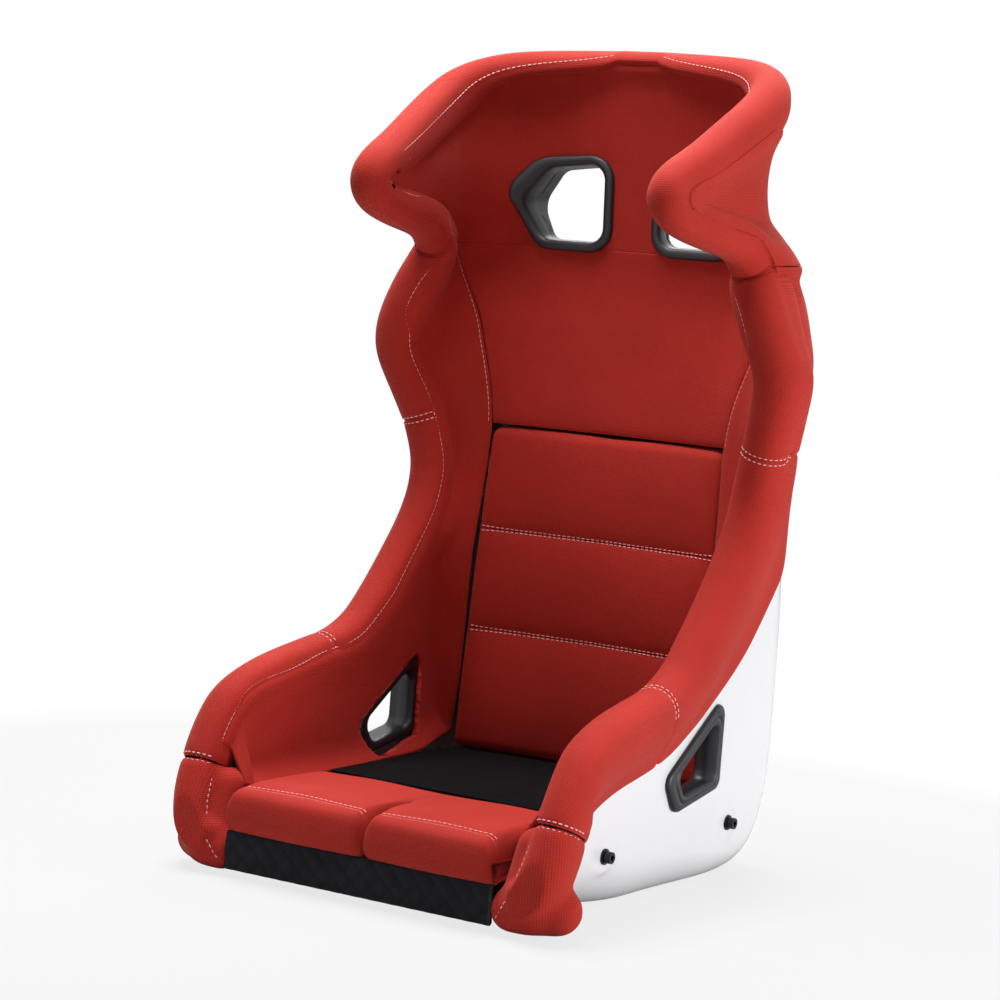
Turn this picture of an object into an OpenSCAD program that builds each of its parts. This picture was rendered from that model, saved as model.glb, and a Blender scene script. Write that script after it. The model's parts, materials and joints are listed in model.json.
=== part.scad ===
// Bucket racing seat with head-restraint wings: moulded shell, foam trim, harness slots, side mounts.
// Units: mm. +Z up, the seat faces -Y, the occupant's left hand is on the +X side, z = 0 under the base.

/* [Overall] */
// overall width over the shoulder wings
seat_width = 586; // [520:1:660]
// overall height
seat_height = 952; // [880:1:1020]
// overall depth, front edge of the thigh wings to the back of the shell
seat_depth = 580; // [540:1:640]

/* [Shell] */
// wall of the moulded shell
shell_wall = 5; // [3:0.5:8]
// height of the foam base under the occupant
base_height = 92; // [70:1:100]

/* [Trim] */
// gap between two trim pieces that touch
trim_gap = 0.4; // [0.3:0.1:2]
// thickness of the head panel
head_pad = 14; // [8:1:20]
// thickness of the removable back cushion
cushion_thick = 30; // [20:1:40]
// half width of the back cushion at its lower edge
cushion_half = 168; // [150:1:172]
// how much narrower the back cushion is at its top, on each side
cushion_taper = 14; // [0:1:20]
// how far the sides of the back cushion curve forward
cushion_dish = 20; // [8:1:30]
// swell of each back-cushion channel
channel_swell = 9; // [3:1:14]
// height of the thigh cushion
thigh_high = 46; // [30:1:55]
// length of the thigh cushion
thigh_long = 192; // [150:1:210]
// scale of the edge rolls
roll_scale = 1; // [0.8:0.05:1.15]

/* [Harness slots] */
// distance of the shoulder-slot centre from the middle
shoulder_slot_x = 91; // [84:1:96]
// height of the shoulder-slot centre
shoulder_slot_z = 774; // [750:1:790]
// width of the plastic frame round a slot
slot_frame = 13; // [8:1:16]
// wall of the tube that lines a slot
slot_tube = 3; // [2:0.5:5]

/* [Side mounts] */
// distance between the front and rear side-mount screws
mount_spacing = 290; // [250:1:320]
// height of the side-mount screws
mount_z = 70; // [55:1:85]
// position of the middle of the screw pair
mount_y = 32; // [10:1:50]
// thread diameter of the side-mount screws
mount_thread = 8; // [6:1:10]

/* [Hidden] */
kx = seat_width / 586;
ky = seat_depth / 580;
kz = seat_height / 952;
red = [0.70, 0.10, 0.07];
black = [0.05, 0.05, 0.06];
white = [0.93, 0.93, 0.93];
steel = [0.55, 0.56, 0.58];

// Each row is one cross-section of the seat. In the side view a row runs from a point on the
// shell's middle line (y, z) to a point on its free edge (y, z). Then: half width, lean of the
// wing, corner radius, radius of the edge roll, half width and corner radius inside the padding.
rows = [
  [-251, 24, -252, 33, 200, 0, 44, 24, 174, 20],      // 0 front lip
  [-249, 22, -250, 48, 214, 6, 40, 30, 178, 20],
  [-242, 18, -241, 85, 222, 8, 48, 30, 181, 20],
  [-229, 16, -225, 127, 226, 6, 56, 29, 184, 20],
  [-208, 14, -206, 159, 223, 9, 60, 29, 187, 20],     // 4 thigh wing
  [-176, 12, -182, 181, 220, 10, 62, 30, 189, 22],
  [-112, 8, -125, 201, 218, 10, 62, 30, 190, 24],
  [-30, 0, -48, 215, 217, 9, 54, 30, 190, 26],
  [45, 0, -9, 224, 217, 5, 52, 30, 190, 30],          // 8 hip
  [118, 0, 20, 236, 217, 3, 48, 30, 190, 36],
  [196, 1.25, 45, 251, 218, 1, 44, 30, 190, 42],
  [254, 12, 70, 273, 219, -1, 46, 31, 190, 48],
  [288, 50, 92, 296, 221, -3, 52, 31, 192, 54],
  [299, 112, 112, 319, 224, -6, 58, 31, 194, 60],     // 13 waist
  [300, 180, 131, 342, 227, -9, 66, 31, 196, 66],
  [299, 250, 151, 369, 230, -12, 70, 31, 198, 74],
  [295, 322, 168, 398, 234, -15, 74, 31, 199, 80],
  [290, 388, 178, 430, 238, -17, 78, 31, 200, 84],
  [284, 448, 179, 462, 243, -18, 84, 31, 203, 90],
  [278, 503, 172, 504, 251, -16, 88, 32, 206, 90],
  [272, 550, 158, 545, 262, -14, 94, 33, 212, 92],    // 20 shoulder
  [267, 590, 145, 579, 272, -14, 98, 34, 220, 96],
  [264, 618, 139, 604, 272, -15, 96, 34, 221, 98],
  [262, 645, 135, 630, 267, -20, 94, 34, 215, 100],
  [260, 672, 137, 660, 262, -28, 92, 34, 203, 100],
  [258, 697, 141, 688, 254, -33, 92, 33, 190, 100],   // 25 neck
  [256, 718, 136, 713, 245, -30, 96, 29, 186, 100],
  [255, 735, 100, 737, 234, -23, 100, 25, 186, 100],
  [254, 750, 30, 748, 224, -18, 106, 24, 186, 100],
  [253, 765, -25, 760, 214, -14, 118, 24, 186, 100],
  [252, 782, -43, 778, 210, -13, 120, 24, 186, 100],  // 30 tip of the head wing
  [251, 800, -26, 797, 208, -11, 120, 24, 186, 100],
  [250, 820, 15, 815, 208, -6, 120, 26, 186, 100],
  [248, 845, 70, 845, 210, -2, 120, 28, 186, 100],
  [246, 870, 115, 870, 212, 0, 120, 29, 186, 100],
  [244, 893, 152, 893, 210, 0, 116, 28, 186, 100],
  [243, 911, 184, 911, 194, 0, 112, 26, 160, 100],
  [243, 924, 210, 924, 160, 0, 110, 24, 120, 100],
  [242, 930, 229, 931, 100, 0, 110, 22, 70, 60],
  [241, 933, 239, 934, 28, 0, 110, 21, 20, 20]        // 39 crown
];
last = len(rows) - 1;
// rows where the cross seams divide the edge rolls
seam_thigh = 2.7;
seam_hip = 7.5;
seam_shoulder = 18.95;
seam_neck = 26;

function clamp01(t) = max(0, min(1, t));
function smooth(t) = let(c = clamp01(t)) c * c * (3 - 2 * c);
function mix(a, b, t) = a + (b - a) * t;
function unit(v) = v / norm(v);

// row at any position along the seat
function at(u) =
  let(i = min(floor(u), last - 1), t = u - i,
      a = rows[max(i - 1, 0)], b = rows[i], c = rows[i + 1], d = rows[min(i + 2, last)])
  b + 0.5 * t * ((c - a) + t * ((2 * a - 5 * b + 4 * c - d) + t * (3 * b - a - 3 * c + d)));

// Along a section q runs from 0 in the middle to 1 on the edge: the flat floor ends at 0.3, then
// comes the corner arc and the wall. These two turn q into a run length past the floor and back.
function arc_share(arc, wall) = max(arc / (arc + wall), 0.5);
function run_of(a, arc, wall) =
  let(t = max(a - 0.3, 0) / 0.7, k = arc_share(arc, wall))
  t <= k || wall <= 0 ? t / k * arc : arc + (t - k) / (1 - k) * wall;
function q_run(run, arc, wall) =
  let(k = arc_share(arc, wall)) 0.3 + 0.7 * (run <= arc || wall <= 0 ? k * run / arc : k + (1 - k) * (run - arc) / wall);
function turn(r, deep) = deep >= r ? 90 : acos(1 - deep / r);
function arc_len(r, deep) = r * turn(r, deep) * PI / 180;

// point of a U-shaped section: floor at depth 0, edge at depth deep, half width w, corner radius r
function u_section(q, w, lean, r, deep) =
  let(fm = turn(r, deep), flat = max(w - r * sin(fm), 0.15 * w),
      arc = arc_len(r, deep), wall = max(deep - r, 0),
      a = abs(q), s = q < 0 ? -1 : 1,
      run = run_of(a, arc, wall),
      f = min(run / r * 180 / PI, fm),
      up = max(run - arc, 0),
      g = run / (arc + wall),
      x = a <= 0.3 ? flat * a / 0.3 : flat + r * sin(f) + lean * g * g,
      h = a <= 0.3 ? 0 : r * (1 - cos(f)) + up,
      t = unit(a <= 0.3 ? [1, 0] : [cos(f) + 2 * lean * g / (arc + wall), sin(f)]))
  [s * x, h, -s * t[1], t[0]];

function place(k, x, h) =
  let(c = [0, k[0] * ky, k[1] * kz], e = [0, k[2] * ky, k[3] * kz])
  c + h * unit(e - c) + [x, 0, 0];
function depth(k) = norm([(k[2] - k[0]) * ky, (k[3] - k[1]) * kz]);

// outside of the shell, moved inwards by off
function hull_pt(u, q, off) =
  let(k = at(u), p = u_section(q, k[4] * kx, k[5], k[6], depth(k)))
  place(k, p[0] + off * p[2], p[1] + off * p[3]);

// middle line of the back cushion's face: y at height z
function back_y(z) =
  let(k = [[60, 213], [100, 214], [246, 216], [369, 220], [496, 227], [620, 238], [960, 238]], n = len(k),
      i = min([for (j = [0:n - 2]) if (z / kz <= k[j + 1][0] || j == n - 2) j]),
      t = (z / kz - k[i][0]) / (k[i + 1][0] - k[i][0]))
  ky * mix(k[i][1], k[i + 1][1], t);
function dish(x) = cushion_dish * min(pow(x / cushion_half, 2), 1);
// distance along a section from the shell's middle line to the padding's face, at side position x
function pad_depth(u, x = 0, back = 0) =
  let(k = at(u), c = place(k, 0, 0), n = place(k, 0, 1) - c,
      base = n[2] > 0.1 ? (base_height + 4 - c[2]) / n[2] : -999,
      t1 = n[1] > -0.1 ? 0 : max((c[1] - back_y(c[2] + 60 * n[2]) + dish(x) - back) / -n[1], 0),
      t2 = n[1] > -0.1 ? -999 : (c[1] - back_y(c[2] + t1 * n[2]) + dish(x) - back) / -n[1])
  max(base, t2);
// face of the padding that the occupant touches, moved inwards by off
function face_pt(u, q, off = 0) =
  let(k = at(u), deep = depth(k), m = smooth((u - 22) / 4), d0 = pad_depth(u),
      up = smooth((u - 10.5) / 2) * (1 - smooth((u - 19) / 5)),
      xe = k[4] * kx + k[5] - shell_wall / 2 - 20,
      p = u_section(q, k[8] * kx, xe - k[8] * kx, k[9], max(deep - d0 - up * cushion_dish, 3)),
      low = place(k, p[0] + off * p[2], d0 + p[1] + up * dish(p[0]) + off * p[3]),
      high = hull_pt(u, q, shell_wall + head_pad + off))
  m >= 1 ? high : m <= 0 ? low : mix(low, high, m);

// solid between two grids of points with the same size
module slab(a0, b0, flip = false, mid = 999) {
  a = flip ? b0 : a0;
  b = flip ? a0 : b0;
  n = len(a);
  m = len(a[0]);
  pts = concat([for (r = a) for (p = r) p], [for (r = b) for (p = r) p]);
  function ia(i, j) = i * m + j;
  function ib(i, j) = n * m + i * m + j;
  // two triangles of a cell, cut along the diagonal that mirrors about the middle column or row
  function cell(i, j, p, q, r, t) =
    (i < mid) == (mid < 999 || 2 * j < m - 2) ? [[p, q, r], [p, r, t]] : [[p, q, t], [q, r, t]];
  faces = concat(
    [for (i = [0:n - 2]) for (j = [0:m - 2])
      for (t = cell(i, j, ia(i, j), ia(i, j + 1), ia(i + 1, j + 1), ia(i + 1, j))) t],
    [for (i = [0:n - 2]) for (j = [0:m - 2])
      for (t = cell(i, j, ib(i, j), ib(i, j + 1), ib(i + 1, j + 1), ib(i + 1, j))) [t[0], t[2], t[1]]],
    [for (i = [0:n - 2]) for (t = [[ia(i, 0), ia(i + 1, 0), ib(i + 1, 0)],
      [ia(i, 0), ib(i + 1, 0), ib(i, 0)]]) t],
    [for (i = [0:n - 2]) for (t = [[ia(i, m - 1), ib(i + 1, m - 1), ia(i + 1, m - 1)],
      [ia(i, m - 1), ib(i, m - 1), ib(i + 1, m - 1)]]) t],
    [for (j = [0:m - 2]) for (t = [[ia(0, j), ib(0, j + 1), ia(0, j + 1)],
      [ia(0, j), ib(0, j), ib(0, j + 1)]]) t],
    [for (j = [0:m - 2]) for (t = [[ia(n - 1, j), ia(n - 1, j + 1), ib(n - 1, j + 1)],
      [ia(n - 1, j), ib(n - 1, j + 1), ib(n - 1, j)]]) t]);
  polyhedron(pts, faces, convexity = 10);
}

function steps(a, b, n) = [for (i = [0:n]) a + (b - a) * i / n];
// rows where the surfaces have their cross lines, and those between two limits
stations = concat([0, 1, 2, seam_thigh, 4.2, 6, 7, 8, 9.6, 11, 12, 13.5, 15, 16.8, 17.9],
  [seam_shoulder, 20, 21, 22.4, 23.6, 24.8, seam_neck, 27, 28, 29, 30, 31],
  [32, 33.4, 34.8, 36, 37.2, 38.4, 39]);
function between(a, b) = concat([a], [for (u = stations) if (u > a + 0.08 && u < b - 0.08) u], [b]);
columns = concat([for (i = [6:-1:0]) -0.3 - 0.7 / 6 * i], [0], [for (i = [0:6]) 0.3 + 0.7 / 6 * i]);
function shell_grid(off, grow = 1) =
  [for (u = stations) [for (q = columns) hull_pt(u, abs(q) == 1 ? q * grow : q, off)]];
// space taken by the shell and the gap round it, deeper by out outside it or by in inside it
module shell_space(out = 0, in = 0) {
  slab(shell_grid(-trim_gap - out, 1.002), shell_grid(shell_wall + trim_gap + in, 1.002));
}

// frame on the free edge of the shell: point, inward normal, outward direction
function edge_pt(u, s) = hull_pt(u, s, shell_wall / 2);
function edge_in(u, s) =
  let(k = at(u), p = u_section(s, k[4] * kx, k[5], k[6], depth(k)))
  place(k, p[2], p[3]) - place(k, 0, 0);
// outside profile of an edge roll as (inward, outward) pairs, grown by g
function roll_out(r, cover, leg, g) =
  let(t = shell_wall / 2 + g)
  [[t + 20, -leg], [t + 22, -2], [t + 19.5, 0.43 * r], [0.6 * r, 0.76 * r], [0.2 * r, 0.97 * r],
    [-0.25 * r, 0.95 * r], [-0.65 * r, 0.72 * r], [-0.88 * r, 0.3 * r], [-0.9 * r, -0.25 * r],
    [-0.74 * r, -0.9 * r], [-t - 9, -0.45 * r - cover / 2], [-t - 4, -cover]];
// its inside, in the middle of the shell's wall; the shell's space is taken out of it afterwards
function roll_in(r, cover, leg) =
  let(t = shell_wall / 5)
  [[t, -leg], [t, -0.7 * leg], [t, -0.4 * leg], [t, 0], [t / 2, trim_gap], [0, trim_gap], [-t / 2, trim_gap],
    [-t, -0.1 * r], [-t, -0.35 * r], [-t, -0.9 * r], [-t, -0.45 * r - cover / 2], [-t, -cover]];
function roll_ring(u, s, cover, leg, inner, g) =
  let(tan = u >= last ? [-1, 0, 0] : s * unit(edge_pt(min(u + 0.25, last), s) - edge_pt(max(u - 0.25, 0), s)),
      v = edge_in(u, s),
      nrm = unit(v - (v * tan) * tan),
      out = cross(tan, nrm),
      r = at(u)[7] * roll_scale + g,
      slope = edge_slope(u), m = smooth((slope - 0.4) / 0.3),
      prof = inner ? roll_in(r, cover + g, leg + g) : roll_out(r, cover + g, leg + g, g))
  [for (j = [0:11])
    let(p = prof[j], flat = edge_pt(u, s) + p[0] * nrm + p[1] * out)
    p[1] > -1.5 || m == 0 ? flat : mix(flat, hull_pt(u, s * hull_in(u, -p[1]), p[0] + shell_wall / 2), m)];
module roll(path, g = 0, mid = 999) {
  function rings(inner) = [for (p = path) roll_ring(p[0], p[1], p[2], leg, inner, g)];
  difference() {
    slab(rings(true), rings(false), mid = mid);
    if (g == 0) shell_space();
  }
}
// length of the cover that a roll lays down the outside of the shell
function cover_at(u) = u < 4 ? 56 : u < seam_shoulder ? mix(62, 84, smooth((u - 9) / 5))
  : mix(52, 28, smooth((u - 25) / 2));

// sides of a part built once for the right of the occupant's left hand, +X
module each_side(left) {
  if (left) children();
  else mirror([1, 0, 0]) children();
}

// outline with rounded corners from points and radii
function rounded(pts, rad, n = 4) =
  let(c = len(pts))
  [for (i = [0:c - 1])
    let(p = pts[i], a = unit(pts[(i + c - 1) % c] - p), b = unit(pts[(i + 1) % c] - p),
        half = acos(a * b) / 2, mid = p + unit(a + b) * rad[i] / sin(half),
        s = p + a * rad[i] / tan(half) - mid, e = p + b * rad[i] / tan(half) - mid,
        a0 = atan2(s[1], s[0]), d0 = atan2(e[1], e[0]) - a0,
        d = d0 > 180 ? d0 - 360 : d0 < -180 ? d0 + 360 : d0)
    for (j = [0:n]) mid + rad[i] * [cos(a0 + d * j / n), sin(a0 + d * j / n)]];
// shoulder slot, seen from the front: x outwards, y up
function slot_pts(g) =
  let(p = [[-60, 54], [32, 46], [62, 4], [40, -57], [-60, -57]], c = [-4, -2])
  rounded([for (v = p) v + g * [v[0] > c[0] ? 1 : -1, v[1] > c[1] ? 1 : -1]],
    [24 + g, 26 + g, 30 + g, 24 + g, 24 + g]);
// lap slot, seen from the side: x backwards, y up
function lap_pts(g) =
  let(k = 1 + g / 44, c = [14, -8])
  rounded([for (v = [[59, 68], [59, -39], [-45, -58], [-72, -18]]) c + k * (v - c)], [12, 13, 16, 14]);

module shell() {
  difference() {
    union() {
      slab(shell_grid(0), shell_grid(shell_wall));
      at_mounts() translate([0, 0, -6]) cylinder(d = 3 * mount_thread + 6, h = 6, $fn = 12);
    }
    for (s = [-1, 1]) shoulder_prism(s, -60, 60, sleeve_in + 0.3);
    for (s = [-1, 1]) lap_prism(s, -60, 60, lap_in + 0.3);
    at_mounts() translate([0, 0, -20]) cylinder(d = mount_thread + 6, h = 40, $fn = 12);
  }
}

// slots: straight prisms through the trim and the shell, between two depths
sleeve_in = slot_tube - slot_frame;
lap_in = slot_tube - slot_frame + 2;
module shoulder_prism(s, z0, z1, g) {
  translate([s * shoulder_slot_x * kx, 236 * ky, shoulder_slot_z * kz])
    mirror([s < 0 ? 1 : 0, 0, 0]) rotate([90, 0, 0]) rotate([0, 7.5, 0])
      translate([0, 0, z0]) linear_extrude(z1 - z0) polygon(slot_pts(g));
}
module lap_prism(s, z0, z1, g) {
  mirror([s < 0 ? 1 : 0, 0, 0]) translate([mount_x() + z0, 83 * ky, 155 * kz])
    rotate([90, 0, 90]) linear_extrude(z1 - z0) polygon(lap_pts(g));
}

// position across a section for a side distance x
function q_of(x, w, r, deep) =
  let(flat = max(w - r * sin(turn(r, deep)), 0.15 * w))
  x <= flat ? 0.3 * x / flat
    : q_run(r * asin(min((x - flat) / r, 1)) * PI / 180, arc_len(r, deep), max(deep - r, 0));
function hull_q(u, x) = let(k = at(u)) q_of(x, k[4] * kx, k[6], depth(k));
function face_deep(u) =
  max(depth(at(u)) - pad_depth(u) - smooth((u - 10.5) / 2) * (1 - smooth((u - 19) / 5)) * cushion_dish, 3);
function face_q(u, x) = let(k = at(u)) q_of(x, k[8] * kx, k[9], face_deep(u));
// the same, a distance d inside the free edge
function edge_slope(u) =
  let(t = unit(edge_pt(min(u + 0.3, last), 1) - edge_pt(max(u - 0.3, 0), 1)), k = at(u),
      n = place(k, 0, 1) - place(k, 0, 0))
  sqrt(max(1 - pow(t * n, 2), 0.004));
function q_in(u, d, r, deep) =
  let(arc = arc_len(r, deep), wall = max(deep - r, 0))
  max(q_run(arc + wall - d / edge_slope(u), arc, wall), 0.31);
function hull_in(u, d) = let(k = at(u)) q_in(u, d, k[6], depth(k));
function face_in(u, d) = mix(q_in(u, d, at(u)[9], face_deep(u)), hull_in(u, d), smooth((u - 22) / 4));

leg = 20;
// seam between the back panels and the side pads, and the side pads' border at the edge rolls
function side_x(u) = u < 11 ? 178 * kx : mix(178 * kx, half_at(u) + 3, smooth((u - 11) / 1.5));
function half_at(u) = cushion_half - cushion_taper * clamp01((u - 11) / 7.7);
function seam_hull(u) = mix(hull_q(u, side_x(u)), hull_in(u, leg + 3), smooth((u - 19) / 7));
function seam_face(u) = mix(face_q(u, side_x(u)), face_in(u, leg + 3), smooth((u - 19) / 7));

// depth inside the shell's wall where the backs of the trim start, before its space is taken out
wall_mid = shell_wall / 2;
module side_pad(left) {
  us = between(4.2, 25.97);
  each_side(left) difference() {
    slab([for (u = us) [for (j = [0:4]) hull_pt(u, mix(seam_hull(u), hull_in(u, leg - 6), j / 4), wall_mid)]],
      [for (u = us) [for (j = [0:4]) face_pt(u, mix(seam_face(u), face_in(u, leg - 6), j / 4))]]);
    shell_space(14);
    lap_prism(1, -90, 60, 0.4);
    roll([for (u = between(seam_thigh, 26.8)) [u, 1, cover_at(u)]], trim_gap + 0.3);
    at_mounts() translate([0, 0, -22]) cylinder(d = 34, h = 30, $fn = 12);
  }
}
base_half = 177 * kx;
module base_foam(us, z, half, out) {
  xs = steps(-1, 1, 10);
  difference() {
    slab([for (u = us) [for (x = xs) hull_pt(u, sign(x) * hull_q(u, abs(x) * half), wall_mid)]],
      [for (u = us) [for (x = xs) on_plane(u, x * half, z)]]);
    shell_space(out);
    mirror([0, 0, 1]) translate([-400, -400, 0]) cube([800, 800, 100]);
  }
}
module base_foam_rear() {
  base_foam(between(6.6, 11), base_height, base_half, 14);
}
// point of a section where it crosses height z
function on_plane(u, x, z) =
  let(k = at(u), c = place(k, x, 0), n = place(k, x, 1) - c) c + n * (z - c[2]) / n[2];
thigh_bottom = base_height + 4 - thigh_high + 4;
// block under the thigh cushion: its underside follows the shell's floor
function floor_pt(u) = place(at(u), 0, shell_wall + trim_gap);
module base_foam_front() {
  rotate([90, 0, 90]) translate([0, 0, -148 * kx]) linear_extrude(296 * kx)
    polygon(concat([for (p = concat([for (u = [0.9, 2, seam_thigh, 4.2, 6]) floor_pt(u)],
        [mix(floor_pt(6), floor_pt(7), 0.52)])) [p[1], p[2]]],
      [[-69 * ky, thigh_bottom - trim_gap], [-246 * ky, thigh_bottom - trim_gap]]));
}
module seat_mat() {
  translate([0, 71 * ky, base_height + trim_gap / 2]) linear_extrude(4)
    polygon(rounded([[-176 * kx, -136], [176 * kx, -136], [176 * kx, 136], [-176 * kx, 136]], [8, 8, 30, 30]));
}
module front_valance() {
  rotate([90, 0, 90]) translate([0, 0, -171 * kx]) linear_extrude(342 * kx)
    polygon([[-251 * ky, 9], [-259 * ky, 8], [-263 * ky, 22], [-264 * ky, thigh_bottom - 2.4],
      [-255 * ky, thigh_bottom - 2.4], [-252 * ky, 30]]);
}
module thigh_cushion() {
  x1 = 172 * kx;
  y0 = -268 * ky;
  y1 = y0 + thigh_long;
  z1 = thigh_bottom + thigh_high;
  difference() {
    slab([for (p = [[y0 + 6, 4], [y0, 12], [y0, thigh_high - 16], [y0 + 5, thigh_high - 5], [y0 + 18, thigh_high],
          [y0 + 90, thigh_high + 6], [y1 - 20, thigh_high + 3], [y1 - 4, thigh_high - 3], [y1, thigh_high - 12]])
        [for (x = steps(-1, 1, 8)) [x * x1, p[0], thigh_bottom + p[1] - (abs(x) == 1 ? 6 : 0)]]],
      [for (p = [y0 + 7, y0 + 14, y0 + 20, y0 + 30, y0 + 50, y0 + 90, y1 - 40, y1 - 20, y1 - 1])
        [for (x = steps(-1, 1, 8)) [x * (x1 - 1), p, thigh_bottom]]], true);
    translate([8 * kx, y0 - 1, thigh_bottom - 1]) linear_extrude(thigh_high + 20)
      polygon([[-7, -5], [7, -5], [4, 12], [2.5, 60], [0, 100], [-2.5, 60], [-4, 12]]);
  }
}
// heights of the cushion's cross seams
channel_z = [base_height + 5, 246 * kz, 369 * kz, 495 * kz];
rise = [for (c = [0:2]) for (t = c == 2 ? [0, 0.12, 0.3, 0.5, 0.7, 0.88, 1] : [0, 0.12, 0.3, 0.5, 0.7, 0.88])
  [mix(channel_z[c], channel_z[c + 1], t), channel_swell * pow(sin(180 * t), 0.6)]];
function cushion_x(z) = cushion_half - cushion_taper * (z - channel_z[0]) / (channel_z[3] - channel_z[0]);
function cushion_grid(off, swell, grow = 0) =
  [for (r = rise) [for (x = steps(-1, 1, 10))
    [x * (cushion_x(r[0]) + grow),
      back_y(r[0]) - dish(x * cushion_half) + off - swell * r[1] * pow(1 - pow(abs(x), 6), 0.5), r[0]]]];
module back_cushion() {
  slab(cushion_grid(0, 1), cushion_grid(cushion_thick, 0), true);
}
module back_foam() {
  us = between(11.06, 18.84);
  difference() {
    slab([for (u = us) [for (x = steps(-1, 1, 10))
        hull_pt(u, sign(x) * hull_q(u, abs(x) * (half_at(u) + 1)), wall_mid)]],
      [for (u = us) [for (x = steps(-1, 1, 10)) let(k = at(u), half = half_at(u) + 1)
        place(k, x * half, pad_depth(u, x * half, cushion_thick - 4))]]);
    shell_space(14);
    slab(cushion_grid(-50, 0, 20), cushion_grid(cushion_thick + trim_gap, 0, 20), true);
    translate([-300, 0, 0]) cube([600, back_y(channel_z[0]) + cushion_thick + trim_gap, channel_z[0] + 0.2]);
  }
}
module upper_back_pad() {
  us = between(18.88, 25.97);
  js = steps(-1, 1, 14);
  difference() {
    slab([for (u = us) [for (j = js) hull_pt(u, j * (seam_hull(u) - 0.004), wall_mid)]],
      [for (u = us) [for (j = js) face_pt(u, j * (seam_face(u) - 0.004))]]);
    shell_space(14);
  }
}
module head_pad() {
  us = between(26.01, last - 0.4);
  js = steps(-1, 1, 14);
  difference() {
    slab([for (u = us) [for (j = js) hull_pt(u, j * hull_in(u, leg - 6), wall_mid)]],
      [for (u = us) [for (j = js) face_pt(u, j * face_in(u, leg - 6))]]);
    shell_space(14);
    for (s = [-1, 1]) shoulder_prism(s, -60, 60, 0.4);
    halo_roll(trim_gap);
    for (s = [0, 1]) mirror([s, 0, 0]) roll([for (u = between(24, 25.99)) [u, 1, cover_at(u)]], trim_gap);
  }
}
module bolster(left, u0, u1) {
  each_side(left) roll([for (u = between(u0 + 0.01, u1 - 0.01)) [u, 1, cover_at(u)]]);
}
// rounded foot at the lower front end of the edge roll, swept from its inner to its outer corner
function foot_ball(t) =
  [mix(198, mix(226, 240, max(2 * t - 1, 0)), min(2 * t, 1)) * kx,
    mix(-246, mix(-246, -214, max(2 * t - 1, 0)), min(2 * t, 1)) * ky, mix(27, 30, t) * kz];
module front_bolster(left) {
  each_side(left) difference() {
    union() {
      roll([for (u = between(0, seam_thigh - 0.02)) [u, 1, cover_at(u)]]);
      for (i = [0:7]) hull() {
        for (t = [i / 8, (i + 1) / 8]) translate(foot_ball(t)) sphere(26 - 2 * t, $fn = 8);
        translate([204 * kx, -240 * ky, 50 * kz]) sphere(24, $fn = 8);
      }
    }
    shell_space();
    translate([-174.1 * kx, -400, -10]) cube([348.2 * kx, 800, 60]);
  }
}
module halo_roll(g) {
  us = between(seam_neck + 0.01, last);
  n = len(us);
  roll(concat([for (u = us) [u, 1, cover_at(u)]],
    [for (i = [n - 1:-1:0]) [us[i], -1, cover_at(us[i])]]), g, n - 0.5);
}
module halo_rim() {
  halo_roll(0);
}
// fabric-covered skin on the outside of the shell, from q0 round the corner to the roll's cover
module outer_cover(left, u0, u1, q0) {
  function qs(u) = [for (j = [0:5]) mix(q0, hull_in(u, cover_at(u) + 2), j / 5)];
  us = between(u0, u1);
  each_side(left) difference() {
    slab([for (u = us) [for (j = [0:5]) hull_pt(u, qs(u)[j], -trim_gap - 5 * min(1, 0.4 + j))]],
      [for (u = us) [for (j = [0:5]) hull_pt(u, qs(u)[j], 0.8)]]);
    shell_space(0, 12);
    if (u0 > seam_neck) rotate([90, 0, 90]) linear_extrude(400) offset(delta = cover_at(u1) + 3)
      polygon(concat([for (u = between(u0, 37)) let(p = edge_pt(u, 1)) [p[1], p[2]]],
        [[-200, 980 * kz], [-200, 650 * kz]]));
  }
}

module shoulder_slot_front(left) {
  s = left ? 1 : -1;
  difference() {
    union() {
      difference() {
        shoulder_prism(s, 1, 16, 0);
        shell_space(14);
      }
      shoulder_prism(s, -21, 2, sleeve_in);
    }
    shoulder_prism(s, -40, 40, -slot_frame);
  }
}
function shell_part(u0, u1, off) =
  [for (u = between(u0, u1)) [for (q = columns) if (abs(q) < 0.8) hull_pt(u, q, off)]];
module shoulder_slot_rear(left) {
  s = left ? 1 : -1;
  difference() {
    intersection() {
      shoulder_prism(s, -60, -4, 0);
      slab(shell_part(24.8, 33.4, -5), shell_part(24.8, 33.4, -trim_gap));
    }
    shoulder_prism(s, -60, 40, sleeve_in + 0.2);
  }
}
module lap_slot_inner(left) {
  s = left ? 1 : -1;
  difference() {
    union() {
      difference() {
        lap_prism(s, -27, -4, 0);
        shell_space();
      }
      lap_prism(s, -12, 5, lap_in);
    }
    lap_prism(s, -90, 60, -slot_frame);
  }
}
module lap_slot_outer(left) {
  s = left ? 1 : -1;
  difference() {
    lap_prism(s, -3, 4.5, 0);
    shell_space();
    lap_prism(s, -90, 60, lap_in + 0.2);
  }
}

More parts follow.
